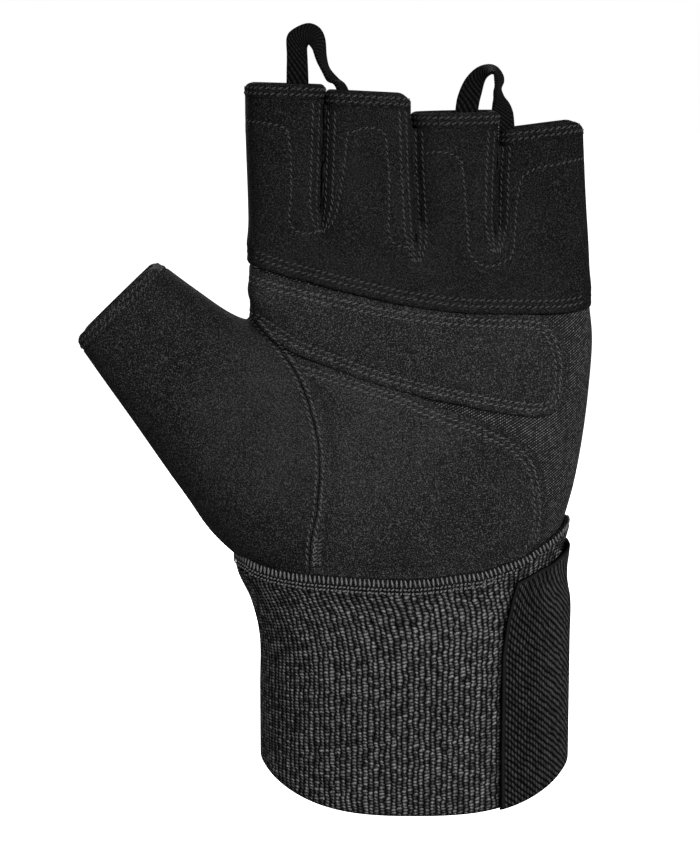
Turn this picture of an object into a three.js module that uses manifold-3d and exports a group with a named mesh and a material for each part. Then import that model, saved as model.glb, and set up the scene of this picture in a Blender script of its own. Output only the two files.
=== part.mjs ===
// A fingerless weightlifting glove for the left hand, held open as if worn: palm towards -Y,
// fingers up along +Z, thumb towards -X. The origin is the centre of the wrist opening, level
// with the lowest point of the cuff. Every panel is cut from thin layers of one hand form:
// form(0) is the hand inside the glove, form(FABRIC) the outside of the fabric, and so on.
import * as THREE from "three";
import { mergeVertices } from "three/addons/utils/BufferGeometryUtils.js";
import Module from "manifold-3d";

const wasm = await Module();
wasm.setup();

// Sizes of the hand inside the glove, in millimetres.
const PALM_WIDTH = 100;
const PALM_LENGTH = 96;
const PALM_DEPTH = 34;
const FINGER_LENGTH = 41;
const FINGER_DEPTH = 25;
const FINGER_SPACE = 0.35;
const THUMB_LENGTH = 75;
const THUMB_WIDTH = 32.4;
const THUMB_DEPTH = 27.5;
const THUMB_ANGLE = 46;
const WRIST_WIDTH = 82.4;
const WRIST_DEPTH = 53;
const CUFF_HEIGHT = 67.2;
const RIM_RISE = 10.5;

// Thicknesses, and the gap that sewn pieces keep.
const FABRIC = 1.3;
const HEM_FOLD = 0.7;
const LIP = 1.2;
const PAD_SUEDE = 1.3;
const PAD_FOAM = 1.7;
const ELASTIC = 1.8;
const BINDING = 1.8;
const STRAP = 1.5;
const TAB_THICKNESS = 1.1;
const GAP = 0.35;

// Widths of hems, borders and strips.
const HEM_HEIGHT = 4.2;
const LIP_HEIGHT = 5.4;
const PAD_BORDER = 4.4;
const PALM_WRAP = 5;
const BINDING_HEIGHT = 3.6;
const UNDERLAP = 8;
const FOURCHETTE_WIDTH = 13;
const FOURCHETTE_DROP = 5;

// Sides of the faceted sections, and steps along the seams.
const TRUNK_SIDES = 30;
const STALL_SIDES = 16;
const THUMB_SIDES = 18;
const SEAM_STEPS = 14;

const HALF_PALM = PALM_WIDTH / 2;
const HALF_WRIST = WRIST_WIDTH / 2;
const CROTCH = CUFF_HEIGHT + PALM_LENGTH;
const REACH = PALM_LENGTH + CROTCH;

// Trunk sections. at is a share of the cuff's height; left and right are shares of half the
// wrist's width, front and back of half its depth, and square is the section's squareness.
const WRIST_ROWS = [
  { at: -0.2, left: -1.02, right: 0.98, front: 1.0, back: 0.98, square: 2.25 },
  { at: 0.1, left: -1.02, right: 0.98, front: 1.0, back: 0.98, square: 2.25 },
  { at: 0.45, left: -1.02, right: 0.98, front: 0.98, back: 0.97, square: 2.25 },
  { at: 0.68, left: -1.02, right: 0.98, front: 0.93, back: 0.92, square: 2.3 },
  { at: 0.85, left: -1.08, right: 0.98, front: 0.87, back: 0.86, square: 2.4 },
];
// at is a share of the palm's length above the cuff; left and right are shares of half the
// palm's width, front and back of half its depth.
const PALM_ROWS = [
  { at: 0.0, left: -0.975, right: 0.775, front: 1.28, back: 1.22, square: 2.45 },
  { at: 0.12, left: -0.97, right: 0.83, front: 1.2, back: 1.1, square: 2.5 },
  { at: 0.26, left: -0.95, right: 0.9, front: 1.12, back: 1.02, square: 2.6 },
  { at: 0.42, left: -0.93, right: 0.95, front: 1.06, back: 0.94, square: 2.65 },
  { at: 0.58, left: -0.925, right: 0.98, front: 1.01, back: 0.87, square: 2.7 },
  { at: 0.7, left: -0.925, right: 0.99, front: 0.98, back: 0.83, square: 2.7 },
  { at: 0.8, left: -0.925, right: 0.97, front: 0.95, back: 0.8, square: 2.7 },
  { at: 0.9, left: -0.925, right: 0.96, front: 0.91, back: 0.77, square: 2.7 },
  { at: 0.99, left: -0.92, right: 0.945, front: 0.84, back: 0.7, square: 2.6 },
  { at: 1.04, left: -0.89, right: 0.91, front: 0.5, back: 0.45, square: 2.5 },
];
const KNUCKLE_SLOPE = -0.06;

// The four stalls. left, right and lean, how far the foot stands to the right of the opening,
// are shares of half the palm's width, top is a share of the finger length above the crotch,
// slope the rise of the opening's edge from left to right and dip the drop of its palm side,
// and front and back are shares of the finger depth.
const FINGERS = [
  {
    name: "index", left: -0.976, right: -0.522, lean: 0.015,
    top: 1.045, slope: -0.03, dip: -0.02, front: 0.56, back: 0.46,
  },
  {
    name: "middle", left: -0.522, right: -0.038, lean: 0.0,
    top: 0.995, slope: -0.05, dip: -0.02, front: 0.58, back: 0.46,
  },
  {
    name: "ring", left: -0.038, right: 0.466, lean: 0.0,
    top: 0.85, slope: 0.02, dip: 0.03, front: 0.55, back: 0.47,
  },
  {
    name: "pinky", left: 0.466, right: 0.945, lean: 0.02,
    top: 0.75, slope: 0.14, dip: 0.1, front: 0.52, back: 0.45,
  },
];
// How a stall grows out of the palm. at is a share of the finger length above the crotch,
// depth and width are shares of the stall's own.
const STALL_ROWS = [
  { at: -0.55, depth: 0.85, width: 0.96 },
  { at: -0.2, depth: 1.0, width: 1.02 },
  { at: 0.0, depth: 1.03, width: 1.03 },
  { at: 0.25, depth: 1.02, width: 1.015 },
  { at: 0.6, depth: 1.0, width: 1.0 },
  { at: 1.2, depth: 0.95, width: 0.985 },
];
// The thumb and the mound below it. at is a share of the thumb's length down from the opening,
// low and high are shares of its width, front and back of its depth.
const THUMB_ROWS = [
  { at: 0.0, low: -0.46, high: 0.46, front: 0.47, back: 0.47, square: 2.5 },
  { at: 0.18, low: -0.535, high: 0.53, front: 0.49, back: 0.49, square: 2.45 },
  { at: 0.36, low: -0.605, high: 0.62, front: 0.53, back: 0.5, square: 2.4 },
  { at: 0.5, low: -0.66, high: 0.8, front: 0.58, back: 0.53, square: 2.4 },
  { at: 0.62, low: -0.705, high: 0.86, front: 0.63, back: 0.56, square: 2.4 },
  { at: 0.74, low: -0.745, high: 0.8, front: 0.68, back: 0.58, square: 2.4 },
  { at: 0.86, low: -0.785, high: 0.7, front: 0.72, back: 0.6, square: 2.4 },
  { at: 0.96, low: -0.79, high: 0.54, front: 0.74, back: 0.61, square: 2.4 },
  { at: 1.06, low: -0.76, high: 0.32, front: 0.74, back: 0.6, square: 2.3 },
  { at: 1.16, low: -0.68, high: 0.04, front: 0.66, back: 0.55, square: 2.2 },
  { at: 1.22, low: -0.56, high: -0.24, front: 0.4, back: 0.35, square: 2.0 },
];
// The middle of the thumb's opening: shares of half the palm's width and of the palm's length.
const THUMB_TIP = { across: -1.716, up: 0.802 };
const THUMB_WEB = -1.02;
// The palm's edges between the wrapped sides: shares of half the palm's width.
const PALM_EDGES = { left: -0.965, right: 1.02 };

// Seams and pad edges on the palm, from left to right or from the top down. across is a share
// of half the palm's width, up a share of the palm's length above the cuff.
const FINGER_SEAM = [
  { across: -1.2, up: 0.965 },
  { across: -0.94, up: 0.927 },
  { across: -0.71, up: 0.89 },
  { across: -0.44, up: 0.855 },
  { across: -0.11, up: 0.814 },
  { across: 0.23, up: 0.79 },
  { across: 0.55, up: 0.785 },
  { across: 0.87, up: 0.783 },
  { across: 1.2, up: 0.8 },
];
const UPPER_PAD_END = [
  { across: 0.7, up: 0.775 },
  { across: 0.78, up: 0.745 },
  { across: 0.835, up: 0.69 },
  { across: 0.86, up: 0.62 },
  { across: 0.84, up: 0.525 },
  { across: 0.76, up: 0.485 },
  { across: 0.59, up: 0.484 },
  { across: 0.3, up: 0.509 },
  { across: 0.07, up: 0.537 },
  { across: -0.28, up: 0.588 },
  { across: -0.5, up: 0.63 },
  { across: -0.68, up: 0.665 },
  { across: -1.2, up: 0.78 },
];
const HEEL_PAD_EDGE = [
  { across: -1.2, up: 0.75 },
  { across: -0.72, up: 0.655 },
  { across: -0.36, up: 0.612 },
  { across: -0.07, up: 0.562 },
  { across: 0.17, up: 0.508 },
  { across: 0.44, up: 0.455 },
  { across: 0.58, up: 0.408 },
  { across: 0.68, up: 0.345 },
  { across: 0.73, up: 0.27 },
  { across: 0.73, up: 0.17 },
  { across: 0.68, up: 0.08 },
  { across: 0.62, up: -0.06 },
];
const THUMB_SEAM = [
  { across: -0.96, up: 0.79 },
  { across: -0.93, up: 0.765 },
  { across: -0.82, up: 0.705 },
  { across: -0.716, up: 0.638 },
  { across: -0.64, up: 0.563 },
  { across: -0.59, up: 0.481 },
  { across: -0.558, up: 0.399 },
  { across: -0.55, up: 0.33 },
  { across: -0.558, up: 0.261 },
  { across: -0.57, up: 0.192 },
  { across: -0.598, up: 0.123 },
  { across: -0.61, up: 0.0 },
  { across: -0.61, up: -0.2 },
];
// The cuff's upper edge and the palm end of the strap: across is a share of half the wrist's
// width, up a share of the cuff's height.
const CUFF_SEAM = [
  { across: -1.7, up: 1.06 },
  { across: -1.25, up: 1.035 },
  { across: -0.9, up: 1.02 },
  { across: -0.45, up: 1.005 },
  { across: 0.0, up: 1.0 },
  { across: 0.35, up: 1.02 },
  { across: 0.65, up: 1.055 },
  { across: 0.88, up: 1.105 },
  { across: 1.07, up: 1.165 },
  { across: 1.5, up: 1.27 },
];
const STRAP_START = [
  { across: 0.61, up: -0.2 },
  { across: 0.595, up: 0.3 },
  { across: 0.605, up: 0.7 },
  { across: 0.63, up: 0.88 },
  { across: 0.7, up: 1.2 },
];
const STRAP_END = -0.62;

// Pull tabs, one row for each cross-section of the ribbon, from its outer to its inner edge.
// Each edge has its place across, as a share of half the palm's width, up, as a share of the
// finger length above the crotch, and deep, as a share of the finger depth.
const TAB_INDEX_MIDDLE = [
  { outer: [-0.74, 0.817, 0.3], inner: [-0.614, 0.817, 0.25] },
  { outer: [-0.74, 1.061, 0.3], inner: [-0.616, 1.061, 0.25] },
  { outer: [-0.738, 1.232, 0.31], inner: [-0.62, 1.207, 0.27] },
  { outer: [-0.738, 1.366, 0.32], inner: [-0.622, 1.28, 0.29] },
  { outer: [-0.69, 1.427, 0.32], inner: [-0.618, 1.305, 0.29] },
  { outer: [-0.614, 1.459, 0.32], inner: [-0.61, 1.31, 0.28] },
  { outer: [-0.552, 1.427, 0.31], inner: [-0.6, 1.295, 0.24] },
  { outer: [-0.524, 1.354, 0.3], inner: [-0.586, 1.263, 0.17] },
  { outer: [-0.518, 1.232, 0.29], inner: [-0.56, 1.2, 0.09] },
  { outer: [-0.5, 1.144, 0.29], inner: [-0.53, 1.134, 0.06] },
  { outer: [-0.448, 1.071, 0.29], inner: [-0.504, 1.073, 0.07] },
  { outer: [-0.408, 1.03, 0.27], inner: [-0.468, 1.05, 0.09] },
  { outer: [-0.386, 0.96, 0.27], inner: [-0.444, 0.98, 0.1] },
  { outer: [-0.364, 0.793, 0.29], inner: [-0.44, 0.793, 0.12] },
];
const TAB_RING_PINKY = [
  { outer: [0.224, 0.622, 0.33], inner: [0.348, 0.622, 0.28] },
  { outer: [0.228, 0.866, 0.33], inner: [0.356, 0.866, 0.28] },
  { outer: [0.248, 0.983, 0.34], inner: [0.376, 0.983, 0.29] },
  { outer: [0.288, 1.078, 0.34], inner: [0.39, 1.056, 0.27] },
  { outer: [0.348, 1.144, 0.34], inner: [0.406, 1.095, 0.22] },
  { outer: [0.41, 1.166, 0.33], inner: [0.428, 1.117, 0.15] },
  { outer: [0.456, 1.151, 0.32], inner: [0.446, 1.11, 0.11] },
  { outer: [0.488, 1.102, 0.31], inner: [0.45, 1.071, 0.1] },
  { outer: [0.494, 1.059, 0.31], inner: [0.452, 1.027, 0.1] },
  { outer: [0.48, 1.007, 0.31], inner: [0.446, 0.988, 0.1] },
  { outer: [0.486, 0.949, 0.32], inner: [0.446, 0.945, 0.1] },
  { outer: [0.524, 0.905, 0.32], inner: [0.456, 0.915, 0.13] },
  { outer: [0.56, 0.837, 0.27], inner: [0.486, 0.86, 0.12] },
  { outer: [0.59, 0.744, 0.26], inner: [0.545, 0.78, 0.12] },
  { outer: [0.612, 0.6, 0.27], inner: [0.55, 0.6, 0.12] },
];

// Reads a table at any value of its key column, with smooth slopes through its rows.
function readTable(rows, key, at) {
  const last = rows.length - 1;
  const next = rows.findIndex((row) => row[key] > at);
  const i = next < 0 ? last - 1 : Math.max(0, next - 1);
  const [a, b] = [rows[i], rows[i + 1]];
  const span = b[key] - a[key];
  const t = THREE.MathUtils.clamp((at - a[key]) / span, 0, 1);
  const slope = (j, column) => {
    const [before, after] = [rows[Math.max(0, j - 1)], rows[Math.min(last, j + 1)]];
    return ((after[column] - before[column]) / (after[key] - before[key])) * span;
  };
  const read = {};
  for (const column of Object.keys(a)) {
    read[column] =
      (2 * t ** 3 - 3 * t ** 2 + 1) * a[column] +
      (t ** 3 - 2 * t ** 2 + t) * slope(i, column) +
      (3 * t ** 2 - 2 * t ** 3) * b[column] +
      (t ** 3 - t ** 2) * slope(i + 1, column);
  }
  return read;
}

// Evenly spaced numbers from a to b.
const steps = (a, b, count) =>
  Array.from({ length: count + 1 }, (_, i) => THREE.MathUtils.lerp(a, b, i / count));

// A closed geometry as a solid that can be joined and cut.
function solid(geometry) {
  const bare = new THREE.BufferGeometry();
  bare.setAttribute("position", geometry.getAttribute("position"));
  bare.setIndex(geometry.getIndex());
  const merged = mergeVertices(bare, 1e-4);
  return new wasm.Manifold(
    new wasm.Mesh({
      numProp: 3,
      vertProperties: merged.getAttribute("position").array,
      triVerts: new Uint32Array(merged.getIndex().array),
    }),
  );
}

// A capped tube whose rings follow a table's sections. place(level, across, deep) gives a
// point, where across and deep run from -1 to 1 round the ring.
function loft(levels, sides, squareAt, place) {
  const tube = new THREE.CylinderGeometry(1, 1, 1, sides, levels.length - 1).rotateX(Math.PI / 2);
  const position = tube.getAttribute("position");
  const point = new THREE.Vector3();
  for (let i = 0; i < position.count; i++) {
    point.fromBufferAttribute(position, i);
    const level = levels[Math.round((point.z + 0.5) * (levels.length - 1))];
    const power = 2 / squareAt(level);
    const across = Math.sign(point.x) * Math.abs(point.x) ** power;
    const deep = Math.sign(point.y) * Math.abs(point.y) ** power;
    position.setXYZ(i, ...place(level, across, deep));
  }
  return solid(tube);
}

// The trunk's rows from the wrist to the knuckles, in millimetres.
const inMillimetres = (row, base, length, halfWidth, halfDepth) => ({
  z: base + row.at * length,
  left: row.left * halfWidth,
  right: row.right * halfWidth,
  front: row.front * halfDepth,
  back: row.back * halfDepth,
  square: row.square,
});
const TRUNK = [
  ...WRIST_ROWS.map((row) => inMillimetres(row, 0, CUFF_HEIGHT, HALF_WRIST, WRIST_DEPTH / 2)),
  ...PALM_ROWS.map((row) => inMillimetres(row, CUFF_HEIGHT, PALM_LENGTH, HALF_PALM, PALM_DEPTH / 2)),
];
const TRUNK_LEVELS = [
  TRUNK[0].z,
  0,
  ...steps(CUFF_HEIGHT * 0.45, CUFF_HEIGHT, 3),
  ...steps(CUFF_HEIGHT, CROTCH - PALM_LENGTH * 0.1, 5).slice(1),
  CROTCH - PALM_LENGTH * 0.02,
  TRUNK.at(-1).z,
];

// Wrist and palm, grown outwards by grow.
function trunk(grow) {
  const read = new Map(TRUNK_LEVELS.map((z) => [z, readTable(TRUNK, "z", z)]));
  const top = TRUNK_LEVELS.at(-1);
  return loft(
    TRUNK_LEVELS,
    TRUNK_SIDES,
    (z) => read.get(z).square,
    (z, across, deep) => {
      const row = read.get(z);
      const half = (row.right - row.left) / 2 + grow;
      const x = (row.left + row.right) / 2 + across * half;
      const y = deep * ((deep < 0 ? row.front : row.back) + grow);
      return [x, y, z === top ? z + grow + KNUCKLE_SLOPE * x : z];
    },
  );
}

const middleOf = (finger) => ((finger.left + finger.right) / 2) * HALF_PALM;
const halfOf = (finger) => ((finger.right - finger.left) / 2) * HALF_PALM - FINGER_SPACE / 2;
// Height of the plane of a finger's opening above a place in it.
const openingAt = (finger, x, y) =>
  CROTCH + finger.top * FINGER_LENGTH + finger.slope * (x - middleOf(finger)) + finger.dip * y;

// One finger stall, grown outwards by grow and running on past its opening by extra.
function stall(finger, grow, extra) {
  const levels = [-0.55, -0.2, 0.05, 0.3, finger.top];
  const read = new Map(levels.map((at) => [at, readTable(STALL_ROWS, "at", at)]));
  const inset = grow - FABRIC;
  return loft(
    levels,
    STALL_SIDES,
    () => 2.6,
    (at, across, deep) => {
      const row = read.get(at);
      const side = deep < 0 ? finger.front : finger.back;
      const foot = finger.lean * HALF_PALM * Math.max(0, finger.top - Math.max(0, at));
      const x = middleOf(finger) + foot + across * (halfOf(finger) * row.width + inset);
      const y = deep * (side * FINGER_DEPTH * row.depth + inset);
      return [x, y, at === finger.top ? openingAt(finger, x, y) + extra : CROTCH + at * FINGER_LENGTH];
    },
  );
}

// The thumb's own axes: down its length and across its width.
const thumbTurn = THREE.MathUtils.degToRad(THUMB_ANGLE);
const thumbDown = new THREE.Vector3(Math.cos(thumbTurn), 0, -Math.sin(thumbTurn));
const thumbAcross = new THREE.Vector3(Math.sin(thumbTurn), 0, Math.cos(thumbTurn));
const onThumb = (along, across, y) =>
  new THREE.Vector3(THUMB_TIP.across * HALF_PALM, y, CUFF_HEIGHT + THUMB_TIP.up * PALM_LENGTH)
    .addScaledVector(thumbDown, along)
    .addScaledVector(thumbAcross, across)
    .toArray();

// The thumb with the mound below it, grown outwards and running on past its opening.
function thumb(grow, extra) {
  const levels = [1.22, 1.14, 1.0, 0.84, 0.68, 0.52, 0.36, 0.18, 0];
  const read = new Map(levels.map((at) => [at, readTable(THUMB_ROWS, "at", at)]));
  return loft(
    levels,
    THUMB_SIDES,
    (at) => read.get(at).square,
    (at, across, deep) => {
      const row = read.get(at);
      const middle = ((row.low + row.high) / 2) * THUMB_WIDTH;
      const half = ((row.high - row.low) / 2) * THUMB_WIDTH + grow;
      const y = deep * ((deep < 0 ? row.front : row.back) * THUMB_DEPTH + grow);
      return onThumb(at === 0 ? -extra : at * THUMB_LENGTH, middle + across * half, y);
    },
  );
}

// The whole hand form, grown by grow. extra runs its stalls on past their openings.
function form(grow, extra = 0) {
  const hand = trunk(grow).add(thumb(grow, extra));
  return FINGERS.reduce((body, finger) => body.add(stall(finger, grow, extra)), hand);
}

// The layer of the form between two distances from the hand.
const layer = (inner, outer) => form(outer).subtract(form(inner, REACH / 4));

// A straight prism along Y from an outline of [x, z] points, between two depths.
function prism(points, from = -REACH, to = REACH) {
  const outline = new THREE.Shape(points.map(([x, z]) => new THREE.Vector2(x, z)));
  const geometry = new THREE.ExtrudeGeometry(outline, { depth: to - from, bevelEnabled: false });
  return solid(geometry.rotateX(Math.PI / 2).translate(0, to, 0));
}

// A smooth line through a table's rows, as [x, z] points in millimetres.
function line(rows, halfWidth, base, height, count) {
  const knots = rows.map((row) => new THREE.Vector2(row.across * halfWidth, base + row.up * height));
  return new THREE.SplineCurve(knots).getPoints(count).map((p) => [p.x, p.y]);
}
const palmLine = (rows, count) => line(rows, HALF_PALM, CUFF_HEIGHT, PALM_LENGTH, count);
const cuffLine = (rows, count) => line(rows, HALF_WRIST, 0, CUFF_HEIGHT, count);

// Moves a line's points to its right by distance, as it is walked with Z up.
function beside(points, distance) {
  return points.map(([x, z], i) => {
    const [ax, az] = points[Math.max(0, i - 1)];
    const [bx, bz] = points[Math.min(points.length - 1, i + 1)];
    const length = Math.hypot(bx - ax, bz - az);
    return [x + ((bz - az) / length) * distance, z - ((bx - ax) / length) * distance];
  });
}

// A prism whose outline is drawn in by inset on all sides.
function insetPrism(points, inset) {
  const turns = steps(0, 2 * Math.PI, inset > 0 ? 8 : 1).slice(1);
  const moved = turns.map((turn) =>
    prism(points.map(([x, z]) => [x + inset * Math.cos(turn), z + inset * Math.sin(turn)])),
  );
  return moved.reduce((body, one) => body.intersect(one));
}

const fingerSeam = palmLine(FINGER_SEAM, SEAM_STEPS);
const thumbSeam = palmLine(THUMB_SEAM, SEAM_STEPS);
const cuffSeam = cuffLine(CUFF_SEAM, SEAM_STEPS);
const strapStart = cuffLine(STRAP_START, SEAM_STEPS / 2);
const lift = (points, by) => points.map(([x, z]) => [x, z + by]);

// Everything above a line that runs from left to right, and everything on the thumb's side of
// the thumb seam, moved towards the thumb by inset.
const above = (points) =>
  prism([
    [-REACH, points[0][1]],
    ...points,
    [REACH, points.at(-1)[1]],
    [REACH, 2 * REACH],
    [-REACH, 2 * REACH],
  ]);
const thumbSide = (inset) => {
  const edge = beside(thumbSeam, inset);
  const web = THUMB_WEB * HALF_PALM - inset;
  return prism([
    [-REACH, 2 * REACH],
    [web, 2 * REACH],
    [web, edge[0][1]],
    ...edge,
    [edge.at(-1)[0], -REACH],
    [-REACH, -REACH],
  ]);
};
const slab = (left, right, from, to) =>
  prism([[left, -REACH], [right, -REACH], [right, 2 * REACH], [left, 2 * REACH]], from, to);
const inFront = (y) => slab(-REACH, REACH, -REACH, y);
const palmFace = () =>
  slab(PALM_EDGES.left * HALF_PALM, PALM_EDGES.right * HALF_PALM, -REACH, -PALM_WRAP);

// The band round a finger's opening, as a block that follows the opening's plane.
function hemZone(finger, drop) {
  const block = new THREE.BoxGeometry(2 * (halfOf(finger) + FINGER_SPACE / 2), 4 * FINGER_DEPTH, 1);
  const position = block.getAttribute("position");
  for (let i = 0; i < position.count; i++) {
    const [x, y] = [position.getX(i) + middleOf(finger), position.getY(i)];
    position.setXYZ(i, x, y, openingAt(finger, x, y) + (position.getZ(i) < 0 ? -drop : FINGER_LENGTH));
  }
  return solid(block);
}

// The same band round the thumb's opening.
function thumbHemZone(drop) {
  const block = new THREE.BoxGeometry(1, 4 * THUMB_DEPTH, 2 * THUMB_WIDTH);
  const position = block.getAttribute("position");
  for (let i = 0; i < position.count; i++) {
    const along = position.getX(i) > 0 ? drop : -THUMB_WIDTH;
    position.setXYZ(i, ...onThumb(along, position.getZ(i), position.getY(i)));
  }
  return solid(block);
}

// The space of the side walls between two neighbouring stalls, wider by grow.
function fourchetteZone(left, right, grow) {
  const middle = ((left.right + right.left) / 2) * HALF_PALM;
  const half = ((right.left - left.right) / 2) * HALF_PALM + FINGER_SPACE / 2 + 2 * FABRIC + grow;
  const bottom = CROTCH - FOURCHETTE_DROP - grow;
  const corners = [
    [middle - half, bottom],
    [middle + half, bottom],
    [middle + half, REACH],
    [middle - half, REACH],
  ];
  return prism(corners, -FOURCHETTE_WIDTH / 2 - grow, FOURCHETTE_WIDTH / 2 + grow);
}

const PAIRS = FINGERS.slice(1).map((finger, i) => [FINGERS[i], finger]);
const fabric = layer(0, FABRIC);
const aboveCuffEnd = above(lift(cuffSeam, -UNDERLAP));
const hemsOut = FINGERS.reduce(
  (zones, finger) => zones.add(hemZone(finger, HEM_HEIGHT + GAP)),
  thumbHemZone(HEM_HEIGHT + GAP),
);
const fourchettesOut = PAIRS.map(([left, right]) => fourchetteZone(left, right, GAP)).reduce(
  (zones, zone) => zones.add(zone),
);
const panels = fabric.subtract(hemsOut).intersect(aboveCuffEnd);

// Suede over the upper palm and the front of the four stalls, with a doubled lower lip.
function fingerPanel() {
  const front = panels.intersect(above(fingerSeam)).intersect(inFront(FABRIC));
  const cover = front.subtract(fourchettesOut);
  const band = above(fingerSeam).subtract(above(lift(fingerSeam, LIP_HEIGHT)));
  const lip = layer(FABRIC / 2, FABRIC + LIP).intersect(band).intersect(palmFace());
  return cover.add(lip);
}

// Stretch cloth over the back of the hand and the stalls, the little-finger side and the palm
// under the pads.
function backPanel() {
  const fingerArea = above(lift(fingerSeam, -GAP)).intersect(inFront(FABRIC + GAP));
  return panels.subtract(fingerArea).subtract(thumbSide(-GAP / 2)).subtract(fourchettesOut);
}

function thumbPanel() {
  return panels.intersect(thumbSide(GAP / 2));
}

// The two side walls and the crotch between neighbouring stalls.
function fourchette([left, right]) {
  return fabric.intersect(fourchetteZone(left, right, 0)).subtract(hemsOut);
}

function hem(finger) {
  const fold = stall(finger, FABRIC, 0).subtract(stall(finger, -HEM_FOLD, REACH / 4));
  return fold.intersect(hemZone(finger, HEM_HEIGHT));
}

function thumbHem() {
  const fold = thumb(FABRIC, 0).subtract(thumb(-HEM_FOLD, REACH / 4));
  return fold.intersect(thumbHemZone(HEM_HEIGHT));
}

// A palm pad: a stitched border of suede with foam in the middle, stepped up inside it.
const PAD_STEPS = [
  { inset: 0, foam: 0 },
  { inset: PAD_BORDER, foam: 1 },
];
function pad(outline, cutAway) {
  const base = FABRIC + GAP;
  const parts = PAD_STEPS.map(({ inset, foam }) => {
    const sheet = layer(base, base + PAD_SUEDE + foam * PAD_FOAM).intersect(palmFace());
    const outlined = sheet.intersect(insetPrism(outline, inset));
    return outlined.subtract(thumbSide(-GAP / 2 - inset)).subtract(cutAway(inset));
  });
  return parts.reduce((body, part) => body.add(part));
}

const padTop = lift(fingerSeam, -GAP).filter(([x]) => x < UPPER_PAD_END[0].across * HALF_PALM);
const upperPadOutline = [...padTop, ...palmLine(UPPER_PAD_END, 2 * SEAM_STEPS)];
const heelPadOutline = [...palmLine(HEEL_PAD_EDGE, 2 * SEAM_STEPS), [-1.2 * HALF_PALM, CUFF_HEIGHT * 0.9]];
const belowCuff = (rise) => prism([
  [-REACH, -REACH],
  [REACH, -REACH],
  [REACH, cuffSeam.at(-1)[1] + rise],
  ...lift(cuffSeam, rise).reverse(),
  [-REACH, cuffSeam[0][1] + rise],
]);

function upperPalmPad() {
  return pad(upperPadOutline, (inset) => above(lift(fingerSeam, -GAP - inset)));
}

function heelPad() {
  const shadow = prism(lift(upperPadOutline, -GAP));
  return pad(heelPadOutline, (inset) => belowCuff(GAP + inset / 2).add(shadow));
}

// Everything above the cuff's rim, which is lowest in the middle of its palm side and back.
const halfCuff = HALF_WRIST + FABRIC + ELASTIC + STRAP;
const rim = steps(-1.3, 1.3, 2 * SEAM_STEPS - 2).map((share) => [
  share * halfCuff,
  RIM_RISE * Math.min(1, Math.abs(share)) ** 3.3,
]);
const aboveRim = above(rim);

function cuffElastic() {
  const base = FABRIC + GAP;
  const ring = layer(base, base + ELASTIC).intersect(aboveRim);
  return ring.subtract(above(lift(cuffSeam, -BINDING_HEIGHT - GAP)));
}

function cuffBinding() {
  const base = FABRIC + GAP;
  const ring = layer(base, base + BINDING).intersect(above(lift(cuffSeam, -BINDING_HEIGHT)));
  return ring.subtract(above(cuffSeam));
}

// The strap starts at a sewn edge on the palm side and runs round the little-finger side to a
// squared end on the back.
function wristStrap() {
  const base = FABRIC + GAP + ELASTIC + GAP;
  const [bottom, top] = [strapStart[0][1], strapStart.at(-1)[1]];
  const front = prism([...strapStart, [REACH, top], [REACH, bottom]], -REACH, STRAP);
  const end = STRAP_END * HALF_WRIST;
  const back = slab(end, REACH, 0, REACH);
  const ring = layer(base, base + STRAP).intersect(aboveRim);
  return ring.intersect(front.add(back)).subtract(above(lift(cuffSeam, -BINDING_HEIGHT - 2 * GAP)));
}

// A ribbon whose cross-sections follow a pull tab's table.
function pullTab(rows) {
  const curve = (side) =>
    new THREE.CatmullRomCurve3(
      rows.map((row) => {
        const [across, up, deep] = row[side];
        return new THREE.Vector3(across * HALF_PALM, deep * FINGER_DEPTH, CROTCH + up * FINGER_LENGTH);
      }),
      false,
      "centripetal",
    );
  const [outer, inner] = [curve("outer"), curve("inner")];
  const ribbon = new THREE.BoxGeometry(1, 1, 1, 1, 1, 2 * rows.length);
  const position = ribbon.getAttribute("position");
  for (let i = 0; i < position.count; i++) {
    const t = position.getZ(i) + 0.5;
    const [a, b] = [outer.getPoint(t), inner.getPoint(t)];
    const along = outer.getTangent(t).add(inner.getTangent(t));
    const face = along.cross(b.clone().sub(a)).normalize();
    const point = a.lerp(b, position.getX(i) + 0.5);
    position.setXYZ(i, ...point.addScaledVector(face, position.getY(i) * TAB_THICKNESS).toArray());
  }
  return solid(ribbon);
}

const suede = new THREE.MeshStandardMaterial({ color: 0x1b1b1d, roughness: 0.95, metalness: 0 });
const stretch = new THREE.MeshStandardMaterial({ color: 0x1f1f22, roughness: 0.85, metalness: 0 });
const knit = new THREE.MeshStandardMaterial({ color: 0x242427, roughness: 0.9, metalness: 0 });
const webbing = new THREE.MeshStandardMaterial({ color: 0x141416, roughness: 0.8, metalness: 0 });

const glove = new THREE.Group();

// Adds a solid to the glove as a named mesh, without the crumbs that its cuts leave.
function piece(name, body, material) {
  const bodies = body.decompose();
  const main = bodies.reduce((a, b) => (a.volume() > b.volume() ? a : b));
  const { vertProperties, triVerts } = main.getMesh();
  const geometry = new THREE.BufferGeometry();
  geometry.setAttribute("position", new THREE.BufferAttribute(vertProperties, 3));
  geometry.setIndex(new THREE.BufferAttribute(triVerts, 1));
  geometry.computeVertexNormals();
  const made = new THREE.Mesh(geometry, material);
  made.name = name;
  glove.add(made);
}

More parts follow.
